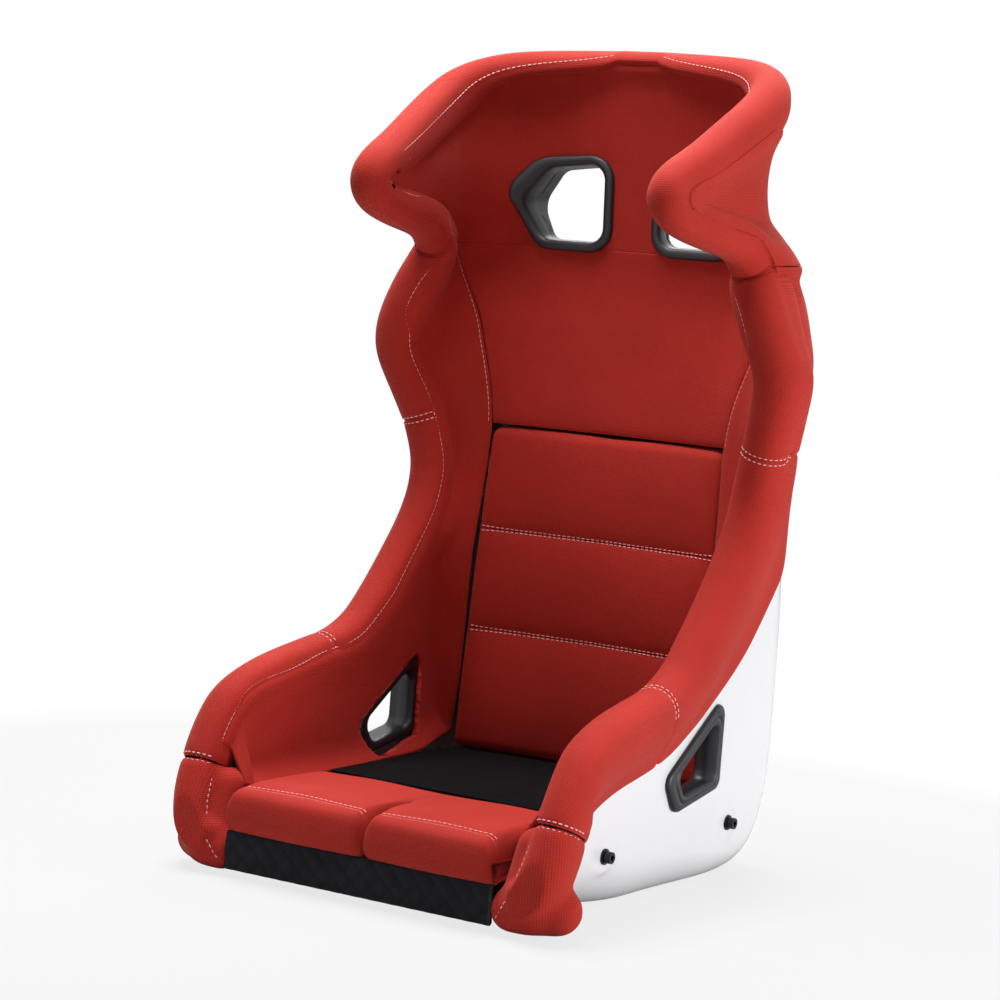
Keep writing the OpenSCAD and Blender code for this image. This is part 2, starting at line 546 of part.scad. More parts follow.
// side mounts: x of the flat bosses outside the shell
function wall_x(u) = hull_pt(u, hull_in(u, depth(at(u)) - mount_z + at(u)[1] * kz), 0)[0];
function mount_x() = max([for (u = [6, 7, 9, 10]) wall_x(u)]) + 0.5;
module at_mounts() {
  for (s = [-1, 1]) for (d = [-0.5, 0.5])
    translate([s * mount_x(), mount_y + d * mount_spacing, mount_z]) rotate([0, s * 90, 0]) children();
}
module mount_inserts() {
  difference() {
    union() {
      at_mounts() translate([0, 0, -14.5]) cylinder(d = 30, h = 3, $fn = 12);
      at_mounts() translate([0, 0, -16]) cylinder(d = mount_thread + 5, h = 15.5, $fn = 12);
    }
    at_mounts() translate([0, 0, -40]) cylinder(d = mount_thread, h = 60, $fn = 12);
  }
}
module mount_washers() {
  at_mounts() difference() {
    cylinder(d = 2 * mount_thread + 2, h = 2, $fn = 12);
    translate([0, 0, -1]) cylinder(d = mount_thread + 0.6, h = 5, $fn = 12);
  }
}
module mount_screws() {
  at_mounts() difference() {
    union() {
      translate([0, 0, -15]) cylinder(d = mount_thread - 0.1, h = 18, $fn = 12);
      translate([0, 0, 2]) cylinder(d = 1.62 * mount_thread, h = mount_thread, $fn = 16);
    }
    translate([0, 0, 5]) cylinder(d = 7, h = 10, $fn = 6);
  }
}

color(white) shell();
color(black) base_foam_rear();
color(black) base_foam_front();
color(black) seat_mat();
color(black) front_valance();
color(red) thigh_cushion();
color(red) back_foam();
color(red) back_cushion();
color(red) upper_back_pad();
color(red) head_pad();
color(red) side_pad(true);  // side_pad_left
color(red) side_pad(false);  // side_pad_right
color(red) front_bolster(true);  // front_bolster_left
color(red) front_bolster(false);  // front_bolster_right
color(red) bolster(true, seam_thigh, seam_hip);  // thigh_bolster_left
color(red) bolster(false, seam_thigh, seam_hip);  // thigh_bolster_right
color(red) bolster(true, seam_hip, seam_shoulder);  // torso_bolster_left
color(red) bolster(false, seam_hip, seam_shoulder);  // torso_bolster_right
color(red) bolster(true, seam_shoulder, seam_neck);  // shoulder_bolster_left
color(red) bolster(false, seam_shoulder, seam_neck);  // shoulder_bolster_right
color(red) halo_rim();
color(red) outer_cover(true, seam_shoulder + 0.1, 25.9, 0.5);  // shoulder_cover_left
color(red) outer_cover(false, seam_shoulder + 0.1, 25.9, 0.5);  // shoulder_cover_right
color(red) outer_cover(true, 26.1, 35, 0.5);  // halo_cover_left
color(red) outer_cover(false, 26.1, 35, 0.5);  // halo_cover_right
color(black) shoulder_slot_front(true);  // shoulder_slot_front_left
color(black) shoulder_slot_front(false);  // shoulder_slot_front_right
color(black) shoulder_slot_rear(true);  // shoulder_slot_rear_left
color(black) shoulder_slot_rear(false);  // shoulder_slot_rear_right
color(black) lap_slot_inner(true);  // lap_slot_inner_left
color(black) lap_slot_inner(false);  // lap_slot_inner_right
color(black) lap_slot_outer(true);  // lap_slot_outer_left
color(black) lap_slot_outer(false);  // lap_slot_outer_right
color(steel) mount_inserts();
color(black) mount_washers();
color(black) mount_screws();
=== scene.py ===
import json
import math

import bpy
import numpy as np
from mathutils import Matrix, Vector

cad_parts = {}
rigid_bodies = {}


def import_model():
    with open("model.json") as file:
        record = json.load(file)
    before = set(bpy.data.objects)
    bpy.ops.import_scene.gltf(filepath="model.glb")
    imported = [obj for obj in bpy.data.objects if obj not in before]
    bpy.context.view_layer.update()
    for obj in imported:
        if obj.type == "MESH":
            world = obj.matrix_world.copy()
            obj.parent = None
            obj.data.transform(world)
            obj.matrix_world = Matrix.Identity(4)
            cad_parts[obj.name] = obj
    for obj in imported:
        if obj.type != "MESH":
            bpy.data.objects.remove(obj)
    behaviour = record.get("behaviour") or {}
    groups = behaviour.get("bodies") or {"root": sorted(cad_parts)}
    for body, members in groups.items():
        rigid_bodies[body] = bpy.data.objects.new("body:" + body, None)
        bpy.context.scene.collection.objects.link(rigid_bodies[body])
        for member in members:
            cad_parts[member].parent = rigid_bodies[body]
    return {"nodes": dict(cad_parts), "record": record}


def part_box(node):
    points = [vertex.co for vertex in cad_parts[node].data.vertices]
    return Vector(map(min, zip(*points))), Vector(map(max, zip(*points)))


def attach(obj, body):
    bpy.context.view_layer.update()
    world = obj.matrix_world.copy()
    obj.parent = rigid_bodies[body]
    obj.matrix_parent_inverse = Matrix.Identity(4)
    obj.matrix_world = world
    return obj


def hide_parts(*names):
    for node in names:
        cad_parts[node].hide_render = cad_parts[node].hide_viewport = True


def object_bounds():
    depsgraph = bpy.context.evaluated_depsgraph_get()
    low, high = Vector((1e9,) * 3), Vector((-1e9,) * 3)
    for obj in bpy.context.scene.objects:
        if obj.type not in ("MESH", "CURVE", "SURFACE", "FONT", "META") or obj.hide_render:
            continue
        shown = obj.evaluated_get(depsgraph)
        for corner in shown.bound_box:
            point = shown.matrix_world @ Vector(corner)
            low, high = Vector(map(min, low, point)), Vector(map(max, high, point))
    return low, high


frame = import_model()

cad_box = [list(v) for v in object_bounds()]

# ------------------------------------------------------------------ surfaces, as in the CAD source
# One row is one cross-section: shell middle line (y, z), shell edge (y, z), half width, lean,
# corner radius, radius of the edge roll, half width and corner radius inside the padding.
ROWS = np.array([
    [-251, 24, -252, 33, 200, 0, 44, 24, 174, 20],
    [-249, 22, -250, 48, 214, 6, 40, 30, 178, 20],
    [-242, 18, -241, 85, 222, 8, 48, 30, 181, 20],
    [-229, 16, -225, 127, 226, 6, 56, 29, 184, 20],
    [-208, 14, -206, 159, 223, 9, 60, 29, 187, 20],
    [-176, 12, -182, 181, 220, 10, 62, 30, 189, 22],
    [-112, 8, -125, 201, 218, 10, 62, 30, 190, 24],
    [-30, 0, -48, 215, 217, 9, 54, 30, 190, 26],
    [45, 0, -9, 224, 217, 5, 52, 30, 190, 30],
    [118, 0, 20, 236, 217, 3, 48, 30, 190, 36],
    [196, 1.25, 45, 251, 218, 1, 44, 30, 190, 42],
    [254, 12, 70, 273, 219, -1, 46, 31, 190, 48],
    [288, 50, 92, 296, 221, -3, 52, 31, 192, 54],
    [299, 112, 112, 319, 224, -6, 58, 31, 194, 60],
    [300, 180, 131, 342, 227, -9, 66, 31, 196, 66],
    [299, 250, 151, 369, 230, -12, 70, 31, 198, 74],
    [295, 322, 168, 398, 234, -15, 74, 31, 199, 80],
    [290, 388, 178, 430, 238, -17, 78, 31, 200, 84],
    [284, 448, 179, 462, 243, -18, 84, 31, 203, 90],
    [278, 503, 172, 504, 251, -16, 88, 32, 206, 90],
    [272, 550, 158, 545, 262, -14, 94, 33, 212, 92],
    [267, 590, 145, 579, 272, -14, 98, 34, 220, 96],
    [264, 618, 139, 604, 272, -15, 96, 34, 221, 98],
    [262, 645, 135, 630, 267, -20, 94, 34, 215, 100],
    [260, 672, 137, 660, 262, -28, 92, 34, 203, 100],
    [258, 697, 141, 688, 254, -33, 92, 33, 190, 100],
    [256, 718, 136, 713, 245, -30, 96, 29, 186, 100],
    [255, 735, 100, 737, 234, -23, 100, 25, 186, 100],
    [254, 750, 30, 748, 224, -18, 106, 24, 186, 100],
    [253, 765, -25, 760, 214, -14, 118, 24, 186, 100],
    [252, 782, -43, 778, 210, -13, 120, 24, 186, 100],
    [251, 800, -26, 797, 208, -11, 120, 24, 186, 100],
    [250, 820, 15, 815, 208, -6, 120, 26, 186, 100],
    [248, 845, 70, 845, 210, -2, 120, 28, 186, 100],
    [246, 870, 115, 870, 212, 0, 120, 29, 186, 100],
    [244, 893, 152, 893, 210, 0, 116, 28, 186, 100],
    [243, 911, 184, 911, 194, 0, 112, 26, 160, 100],
    [243, 924, 210, 924, 160, 0, 110, 24, 120, 100],
    [242, 930, 229, 931, 100, 0, 110, 22, 70, 60],
    [241, 933, 239, 934, 28, 0, 110, 21, 20, 20],
], float)
LAST = len(ROWS) - 1
SHELL_WALL = 5.0
HEAD_PAD = 14.0
BASE = 92.0          # height of the foam base
CUSHION_HALF, CUSHION_TAPER, CUSHION_DISH, CUSHION_THICK = 168.0, 14.0, 20.0, 30.0
SEAM_THIGH, SEAM_HIP, SEAM_SHOULDER, SEAM_NECK = 2.7, 7.5, 18.95, 26.0
LEG = 20.0           # how far the edge roll reaches down inside the shell


def smooth(t):
    t = np.clip(t, 0, 1)
    return t * t * (3 - 2 * t)


def mix(a, b, t):
    return a + (b - a) * t


def unit(v):
    return v / np.maximum(np.linalg.norm(v, axis=-1, keepdims=True), 1e-9)


def catmull(rows, u):
    u = np.asarray(u, float)
    n = len(rows) - 1
    i = np.clip(np.floor(u).astype(int), 0, n - 1)
    t = (u - i)[..., None]
    a, b, c, d = rows[np.maximum(i - 1, 0)], rows[i], rows[i + 1], rows[np.minimum(i + 2, n)]
    return b + 0.5 * t * ((c - a) + t * ((2 * a - 5 * b + 4 * c - d) + t * (3 * b - a - 3 * c + d)))


# the rows drawn finely and faired, so that no ripple shows in the gloss
FINE = 20
_dense = catmull(ROWS, np.arange(LAST * FINE + 1) / FINE)
_span = FINE
_kernel = np.exp(-0.5 * (np.arange(-_span, _span + 1) / (0.28 * FINE)) ** 2)
_kernel /= _kernel.sum()
_padded = np.concatenate([2 * _dense[0] - _dense[_span:0:-1], _dense,
                          2 * _dense[-1] - _dense[-2:-_span - 2:-1]])
FAIR = np.stack([np.convolve(_padded[:, c], _kernel, "valid") for c in range(_dense.shape[1])], 1)


def at(u):
    x = np.clip(np.asarray(u, float), 0, LAST) * FINE
    i = np.clip(np.floor(x).astype(int), 0, len(FAIR) - 2)
    t = (x - i)[..., None]
    return FAIR[i] * (1 - t) + FAIR[i + 1] * t


def turn(r, deep):
    return np.where(deep >= r, math.pi / 2, np.arccos(np.clip(1 - deep / r, -1, 1)))


def arcs(r, deep):
    """Length of the corner arc, of the wall, and the share of 0.3..1 that the arc takes."""
    arc, wall = r * turn(r, deep), np.maximum(deep - r, 0)
    return arc, wall, np.maximum(arc / (arc + wall), 0.5)


def q_run(run, r, deep):
    arc, wall, k = arcs(r, deep)
    past = k + (1 - k) * (run - arc) / np.maximum(wall, 1e-6)
    return 0.3 + 0.7 * np.where((run <= arc) | (wall <= 0), k * run / arc, past)


def u_section(q, w, lean, r, deep):
    """x, height, and the inward normal's x and height."""
    fm = turn(r, deep)
    flat = np.maximum(w - r * np.sin(fm), 0.15 * w)
    arc, wall, k = arcs(r, deep)
    a, s = np.abs(q), np.where(q < 0, -1.0, 1.0)
    t = np.maximum(a - 0.3, 0) / 0.7
    run = np.where((t <= k) | (wall <= 0), t / k * arc, arc + (t - k) / np.maximum(1 - k, 1e-6) * wall)
    f, up, g = np.minimum(run / r, fm), np.maximum(run - arc, 0), run / (arc + wall)
    floor = a <= 0.3
    x = np.where(floor, flat * a / 0.3, flat + r * np.sin(f) + lean * g * g)
    h = np.where(floor, 0, r * (1 - np.cos(f)) + up)
    tx = np.where(floor, 1, np.cos(f) + 2 * lean * g / (arc + wall))
    th = np.where(floor, 0, np.sin(f))
    n = np.hypot(tx, th)
    return s * x, h, -s * th / n, tx / n


def place(k, x, h):
    c = np.stack([k[..., 0], k[..., 1]], -1)
    d = unit(np.stack([k[..., 2] - k[..., 0], k[..., 3] - k[..., 1]], -1))
    x, h = np.broadcast_arrays(x, h)
    yz = c + h[..., None] * d
    return np.concatenate([x[..., None], yz], -1)


def depth(k):
    return np.hypot(k[..., 2] - k[..., 0], k[..., 3] - k[..., 1])


def hull_pt(u, q, off):
    """Outside of the shell, moved inwards by off."""
    u, q, off = np.broadcast_arrays(np.asarray(u, float), q, off)
    k = at(u)
    x, h, nx, nh = u_section(q, k[..., 4], k[..., 5], k[..., 6], depth(k))
    return place(k, x + off * nx, h + off * nh)


_zs = np.linspace(40, 1000, 193)
_ys = np.interp(_zs, [60, 100, 246, 369, 496, 620, 960], [213, 214, 216, 220, 227, 238, 238])
_ys = np.convolve(np.pad(_ys, 12, "edge"), np.ones(25) / 25, "valid")


def back_y(z):
    return np.interp(z, _zs, _ys)


def dish(x):
    return CUSHION_DISH * np.minimum((x / CUSHION_HALF) ** 2, 1)


def pad_depth(u, x=0.0, back=0.0):
    k = at(u)
    c = np.stack([k[..., 0], k[..., 1]], -1)
    n = unit(np.stack([k[..., 2] - k[..., 0], k[..., 3] - k[..., 1]], -1))
    base = np.where(n[..., 1] > 0.1, (BASE + 4 - c[..., 1]) / np.maximum(n[..., 1], 0.1), -999)
    ny = np.minimum(n[..., 0], -0.1)
    off = dish(x) - back
    t1 = np.where(n[..., 0] > -0.1, 0, np.maximum((c[..., 0] - back_y(c[..., 1] + 60 * n[..., 1]) + off) / -ny, 0))
    t2 = np.where(n[..., 0] > -0.1, -999, (c[..., 0] - back_y(c[..., 1] + t1 * n[..., 1]) + off) / -ny)
    return np.maximum(base, t2)


def waist(u):
    return smooth((u - 10.5) / 2) * (1 - smooth((u - 19) / 5))


def face_pt(u, q, off=0.0):
    """Face of the padding that the occupant touches, moved inwards by off."""
    u, q = np.broadcast_arrays(np.asarray(u, float), q)
    k = at(u)
    deep, m, d0, up = depth(k), smooth((u - 22) / 4), pad_depth(u), waist(u)
    xe = k[..., 4] + k[..., 5] - SHELL_WALL / 2 - 20
    x, h, nx, nh = u_section(q, k[..., 8], xe - k[..., 8], k[..., 9], np.maximum(deep - d0 - up * CUSHION_DISH, 3))
    low = place(k, x + off * nx, d0 + h + up * dish(x) + off * nh)
    high = hull_pt(u, q, SHELL_WALL + HEAD_PAD + off)
    return mix(low, high, m[..., None])


def edge_pt(u, s):
    return hull_pt(u, s, SHELL_WALL / 2)


def edge_slope(u):
    t = unit(edge_pt(np.minimum(u + 0.3, LAST), 1.0) - edge_pt(np.maximum(u - 0.3, 0), 1.0))
    k = at(u)
    n = place(k, np.zeros_like(u), np.ones_like(u)) - place(k, np.zeros_like(u), np.zeros_like(u))
    return np.sqrt(np.maximum(1 - (t * n).sum(-1) ** 2, 0.004))


def q_of(x, w, r, deep):
    flat = np.maximum(w - r * np.sin(turn(r, deep)), 0.15 * w)
    return np.where(x <= flat, 0.3 * x / flat, q_run(r * np.arcsin(np.clip((x - flat) / r, -1, 1)), r, deep))


def hull_q(u, x):
    k = at(u)
    return q_of(x, k[..., 4], k[..., 6], depth(k))


def face_deep(u):
    return np.maximum(depth(at(u)) - pad_depth(u) - waist(u) * CUSHION_DISH, 3)


def face_q(u, x):
    k = at(u)
    return q_of(x, k[..., 8], k[..., 9], face_deep(u))


def q_in(u, d, r, deep):
    arc, wall, _ = arcs(r, deep)
    return np.maximum(q_run(arc + wall - d / edge_slope(u), r, deep), 0.31)


def hull_in(u, d):
    k = at(u)
    return q_in(u, d, k[..., 6], depth(k))


def face_in(u, d):
    return mix(q_in(u, d, at(u)[..., 9], face_deep(u)), hull_in(u, d), smooth((u - 22) / 4))


def half_at(u):
    return CUSHION_HALF - CUSHION_TAPER * np.clip((u - 11) / 7.7, 0, 1)


def side_x(u):
    return np.where(u < 11, 178, mix(178, half_at(u) + 3, smooth((u - 11) / 1.5)))


_su = np.linspace(18, 27, 91)
_sq = np.interp(_su, [18, 18.6, 19, 20, 21, 22, 23, 24, 25, 25.5, 26, 27],
                [0.478, 0.489, 0.5, 0.542, 0.567, 0.598, 0.639, 0.69, 0.767, 0.824, 0.89, 0.95])
_sq = np.convolve(np.pad(_sq, 4, "edge"), np.ones(9) / 9, "valid")


def seam_face(u):
    return mix(face_q(u, side_x(u)), np.interp(u, _su, _sq), smooth((u - 18.2) / 0.8))


# ------------------------------------------------------------------------------- mesh making
def spans(a, b, step):
    return np.linspace(a, b, max(int(math.ceil(abs(b - a) / step)), 2) + 1)


def uv_of(p):
    """Lengths along both directions of a grid, in metres, counted from its middle column."""
    n, m = p.shape[:2]
    mid = m // 2
    along = np.concatenate([np.zeros((1, m)), np.cumsum(np.linalg.norm(np.diff(p, axis=0), axis=-1), 0)])
    across = np.concatenate([np.zeros((n, 1)), np.cumsum(np.linalg.norm(np.diff(p, axis=1), axis=-1), 1)], 1)
    along = mix(along, along[:, mid:mid + 1], 0.85)
    return np.stack([along, across - across[:, mid:mid + 1]], -1) / 1000


def make(name, points, faces, uv=None, material=None, body="seat"):
    """A smooth mesh object from points in mm; uv holds one pair for each point."""
    me = bpy.data.meshes.new(name)
    me.from_pydata((np.asarray(points, float) / 1000).tolist(), [], faces)
    me.validate()
    if uv is not None:
        layer = me.uv_layers.new(name="uv")
        idx = np.zeros(len(me.loops), np.int32)
        me.loops.foreach_get("vertex_index", idx)
        layer.data.foreach_set("uv", np.asarray(uv, np.float32)[idx].ravel())
    me.polygons.foreach_set("use_smooth", np.ones(len(me.polygons), bool))
    me.update()
    o = bpy.data.objects.new(name, me)
    bpy.context.collection.objects.link(o)
    if material:
        me.materials.append(material)
    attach(o, body)
    return o


def quads(n, m, base=0, flip=False, wrap=False):
    """Faces of an n by m grid of points, wrap joins its last column to its first."""
    i, j = np.meshgrid(np.arange(n - 1), np.arange(m if wrap else m - 1), indexing="ij")
    jn = (j + 1) % m
    f = np.stack([i * m + j, i * m + jn, (i + 1) * m + jn, (i + 1) * m + j], -1).reshape(-1, 4) + base
    return (f[:, ::-1] if flip else f).tolist()


def normals(p):
    """Unit normals of a grid: along the rows crossed with along the columns."""
    return unit(np.cross(np.gradient(p, axis=0), np.gradient(p, axis=1)))


def border_dist(p, borders="ijkl"):
    """Distance of each grid point from the grid's borders, measured along the surface."""
    along = np.concatenate([np.zeros((1, p.shape[1])), np.cumsum(np.linalg.norm(np.diff(p, axis=0), axis=-1), 0)])
    across = np.concatenate([np.zeros((p.shape[0], 1)), np.cumsum(np.linalg.norm(np.diff(p, axis=1), axis=-1), 1)], 1)
    d = {"i": along, "k": along[-1:] - along, "j": across, "l": across[:, -1:] - across}
    return [d[b] for b in borders]


def puff(p, sign, borders, dip, width=7.0):
    """Sinks a panel into its seams. sign is 1 where its normals() point out of the padding, else -1."""
    n = normals(p) * sign
    rise = np.zeros(p.shape[:2])
    for d in border_dist(p, borders):
        rise -= dip * np.exp(-d / width)
    return p + n * rise[..., None]


def slab(name, front, back, material, flip=False, holes=()):
    """A closed sheet between two grids. holes is a list of (inside, snap) tests for cells cut away."""
    n, m = front.shape[:2]
    pts = np.concatenate([front.reshape(-1, 3), back.reshape(-1, 3)]).copy()
    cut = np.zeros((n - 1, m - 1), bool)
    mid = (front[:-1, :-1] + front[1:, 1:]) / 2
    for inside, snap in holes:
        gone = inside(mid)
        cut |= gone
        touch = np.zeros((n, m), int)
        kept = np.zeros((n, m), int)
        for a in (0, 1):
            for b in (0, 1):
                touch[a:n - 1 + a, b:m - 1 + b] += gone
                kept[a:n - 1 + a, b:m - 1 + b] += ~gone
        rim = ((touch > 0) & (kept > 0)).ravel()
        for base in (0, n * m):
            idx = np.nonzero(rim)[0] + base
            pts[idx] = snap(pts[idx])
    faces = []
    keep = ~cut
    ii, jj = np.nonzero(keep)
    def cell(base):
        return np.stack([ii * m + jj, ii * m + jj + 1, (ii + 1) * m + jj + 1, (ii + 1) * m + jj], -1) + base
    faces += (cell(0)[:, ::-1] if flip else cell(0)).tolist()
    faces += (cell(n * m) if flip else cell(n * m)[:, ::-1]).tolist()
    big = np.zeros((n + 1, m + 1), bool)
    big[1:-1, 1:-1] = keep
    walls = []
    for i, j in zip(*np.nonzero(big[1:, 1:-1] != big[:-1, 1:-1])):   # edges along j at row i
        a, b = i * m + j, i * m + j + 1
        walls.append((a, b) if big[i + 1, j + 1] else (b, a))
    for i, j in zip(*np.nonzero(big[1:-1, 1:] != big[1:-1, :-1])):   # edges along i at column j
        a, b = i * m + j, (i + 1) * m + j
        walls.append((b, a) if big[i + 1, j + 1] else (a, b))
    nm = n * m
    for a, b in walls:
        f = [a, a + nm, b + nm, b]
        faces.append(f[::-1] if flip else f)
    used = np.unique(np.array([v for f in faces for v in f]))
    new = np.full(len(pts), -1)
    new[used] = np.arange(len(used))
    faces = new[np.array(faces)].tolist()
    uvs = np.concatenate([uv_of(front).reshape(-1, 2)] * 2)
    return make(name, pts[used], faces, uvs[used], material)


def tube(name, rings, material, flip=False, body="seat", wrap_rows=False):
    """A closed solid through rings of points; its ends are capped unless wrap_rows joins them."""
    n, m = rings.shape[:2]
    faces = quads(n, m, flip=flip, wrap=True)
    if wrap_rows:
        j = np.arange(m)
        jn = (j + 1) % m
        f = np.stack([(n - 1) * m + j, (n - 1) * m + jn, jn, j], -1)
        faces += (f[:, ::-1] if flip else f).tolist()
    else:
        a, b = list(range(m)), list(range((n - 1) * m, n * m))
        faces += [a if not flip else a[::-1], b[::-1] if not flip else b]
    uvs = uv_of(rings)
    return make(name, rings.reshape(-1, 3), faces, uvs.reshape(-1, 2), material, body)


# ------------------------------------------------------------------------------- stitches
STITCH, STITCH_GAP, STITCH_R = 4.8, 1.6, 0.72
stitch_parts = {}


def walk(p, d, border):
    """Points and normals at distance d from one border of a grid, one for each grid line."""
    if border in "kl":
        p = p[::-1] if border == "k" else p[:, ::-1]
    if border in "ik":
        p = p.swapaxes(0, 1)
    seg = np.linalg.norm(np.diff(p, axis=1), axis=-1)
    run = np.concatenate([np.zeros((len(p), 1)), np.cumsum(seg, 1)], 1)
    d = np.broadcast_to(d, (len(p),))
    i = np.array([np.clip(np.searchsorted(r, x) - 1, 0, len(r) - 2) for r, x in zip(run, d)])
    rows = np.arange(len(p))
    t = ((d - run[rows, i]) / np.maximum(seg[rows, i], 1e-6))[:, None]
    n = normals(p)
    if border in "ik":
        n = -n
    if border in "kl":
        n = -n
    return p[rows, i] * (1 - t) + p[rows, i + 1] * t, unit(n[rows, i] * (1 - t) + n[rows, i + 1] * t)


def sew(body, pts, nrm, sign=1.0, lo=0.0, hi=1.0):
    """A row of thread stitches along a line on a surface."""
    nrm = nrm * sign
    seg = np.linalg.norm(np.diff(pts, axis=0), axis=1)
    run = np.concatenate([[0], np.cumsum(seg)])
    total = run[-1]
    pitch = STITCH + STITCH_GAP
    s = np.arange(lo * total + pitch / 2, hi * total, pitch)
    if not len(s):
        return
    u = np.linspace(-1, 1, 7)
    a = np.arange(6) * math.pi / 3
    w = STITCH_R * np.sqrt(np.maximum(1 - u ** 4, 0.02))
    at_s = s[:, None] + u[None, :] * STITCH / 2
    def on(v):
        return np.stack([np.interp(at_s, run, v[:, c]) for c in range(3)], -1)
    p, n = on(pts), unit(on(nrm))
    t = unit(np.gradient(p, axis=1))
    b = unit(np.cross(t, n))
    lift = 0.45 - 0.75 * u ** 6
    c = p + n * lift[None, :, None]
    ring = (c[:, :, None] + w[None, :, None, None] * (np.cos(a)[None, None, :, None] * b[:, :, None]
            + 0.8 * np.sin(a)[None, None, :, None] * n[:, :, None]))
    stitch_parts.setdefault(body, []).append(ring)


def make_stitches(material):
    for body, parts in stitch_parts.items():
        rings = np.concatenate(parts)
        k, n, m = rings.shape[:3]
        one = quads(n, m, wrap=True) + [list(range(m)), list(range((n - 1) * m, n * m))[::-1]]
        faces = []
        for i in range(k):
            faces += [[v + i * n * m for v in f] for f in one]
        make("stitching_" + body, rings.reshape(-1, 3), faces, None, material, body)


# ------------------------------------------------------------------------------- materials
def srgb(r, g, b):
    return tuple(c / 12.92 if c <= 0.04045 else ((c + 0.055) / 1.055) ** 2.4
                 for c in (r / 255, g / 255, b / 255)) + (1,)


class Nodes:
    """Short calls for building a node tree."""
    def __init__(self, name):
        self.mat = bpy.data.materials.new(name)
        self.mat.use_nodes = True
        self.tree = self.mat.node_tree
        self.bsdf = self.tree.nodes["Principled BSDF"]

    def new(self, kind, **props):
        n = self.tree.nodes.new(kind)
        for k, v in props.items():
            setattr(n, k, v)
        return n

    def link(self, a, b):
        self.tree.links.new(a, b)

    def drive(self, socket, output):
        self.link(output, self.bsdf.inputs[socket])

    def set(self, socket, value):
        self.bsdf.inputs[socket].default_value = value

    def coords(self):
        return self.new("ShaderNodeTexCoord").outputs["Object"]

    def math(self, op, a, b=None):
        n = self.new("ShaderNodeMath", operation=op)
        for i, v in enumerate((a, b)):
            if v is None:
                continue
            if isinstance(v, (int, float)):
                n.inputs[i].default_value = v
            else:
                self.link(v, n.inputs[i])
        return n.outputs[0]

    def noise(self, vec, scale, detail=2.0, rough=0.5):
        n = self.new("ShaderNodeTexNoise")
        n.inputs["Scale"].default_value = scale
        n.inputs["Detail"].default_value = detail
        n.inputs["Roughness"].default_value = rough
        self.link(vec, n.inputs["Vector"])
        return n.outputs["Fac"]

    def mix_colour(self, fac, a, b):
        n = self.new("ShaderNodeMix", data_type="RGBA")
        self.link(fac, n.inputs["Factor"])
        for sock, v in ((n.inputs["A"], a), (n.inputs["B"], b)):
            if isinstance(v, tuple):
                sock.default_value = v
            else:
                self.link(v, sock)
        return n.outputs["Result"]

    def ramp(self, fac, lo, hi):
        n = self.new("ShaderNodeMapRange")
        n.inputs["From Min"].default_value = lo
        n.inputs["From Max"].default_value = hi
        self.link(fac, n.inputs["Value"])
        return n.outputs["Result"]

    def bump(self, height, distance, strength=1.0, normal=None):
        n = self.new("ShaderNodeBump")
        n.inputs["Distance"].default_value = distance
        n.inputs["Strength"].default_value = strength
        self.link(height, n.inputs["Height"])
        if normal is not None:
            self.link(normal, n.inputs["Normal"])
        return n.outputs["Normal"]


def mesh_fabric(name, bright, dark, pitch=0.0023):
    """Knitted spacer mesh: staggered small holes between yarns, from UVs in metres."""
    m = Nodes(name)
    uv = m.new("ShaderNodeUVMap", uv_map="uv").outputs["UV"]
    obj = m.coords()
    sep = m.new("ShaderNodeSeparateXYZ")
    m.link(uv, sep.inputs[0])
    k = 2 * math.pi / pitch
    # two crossing diagonal waves make rows of staggered holes
    a = m.math("MULTIPLY", m.math("ADD", sep.outputs["X"], sep.outputs["Y"]), k * 0.5)
    b = m.math("MULTIPLY", m.math("SUBTRACT", sep.outputs["X"], sep.outputs["Y"]), k * 0.5)
    ca, cb = m.math("COSINE", a), m.math("COSINE", b)
    lattice = m.math("MULTIPLY", ca, cb)
    hole = m.ramp(lattice, 0.15, 0.75)
    yarn = m.math("ABSOLUTE", m.math("SINE", m.math("MULTIPLY", a, 2.0)))
    height = m.math("SUBTRACT", m.math("MULTIPLY", yarn, 0.25), hole)
    wear = m.noise(obj, 9.0, 3.0)
    fuzz = m.noise(obj, 900.0, 2.0)
    tone = m.mix_colour(m.ramp(wear, 0.35, 0.7), bright, tuple(0.88 * c for c in bright[:3]) + (1,))
    # the holes are mixed towards the dark colour: painted shade in the holes
    tone = m.mix_colour(m.math("MULTIPLY", hole, 0.62), tone, dark)
    m.drive("Base Color", m.mix_colour(m.math("MULTIPLY", fuzz, 0.18), tone, dark))
    m.drive("Roughness", m.math("ADD", m.math("MULTIPLY", wear, 0.12), 0.72))
    soft = m.noise(obj, 28.0, 2.0)
    n1 = m.bump(soft, 0.0011, 0.35)
    m.drive("Normal", m.bump(height, 0.00035, 0.85, n1))
    m.set("Sheen Weight", 0.12)
    m.set("Sheen Roughness", 0.45)
    m.set("Sheen Tint", (1.0, 0.62, 0.55, 1))
    m.set("Specular IOR Level", 0.3)
    return m.mat


def suede(name, colour, sheen=0.15):
    m = Nodes(name)
    obj = m.coords()
    nap = m.noise(obj, 60.0, 4.0, 0.65)
    fine = m.noise(obj, 1400.0, 2.0)
    light = tuple(min(c * 1.8 + 0.002, 1) for c in colour[:3]) + (1,)
    m.drive("Base Color", m.mix_colour(m.ramp(nap, 0.3, 0.75), colour, light))
    m.drive("Normal", m.bump(fine, 0.0003, 0.6))
    m.set("Roughness", 0.92)
    m.set("Sheen Weight", sheen)
    m.set("Specular IOR Level", sheen * 1.3)
    return m.mat


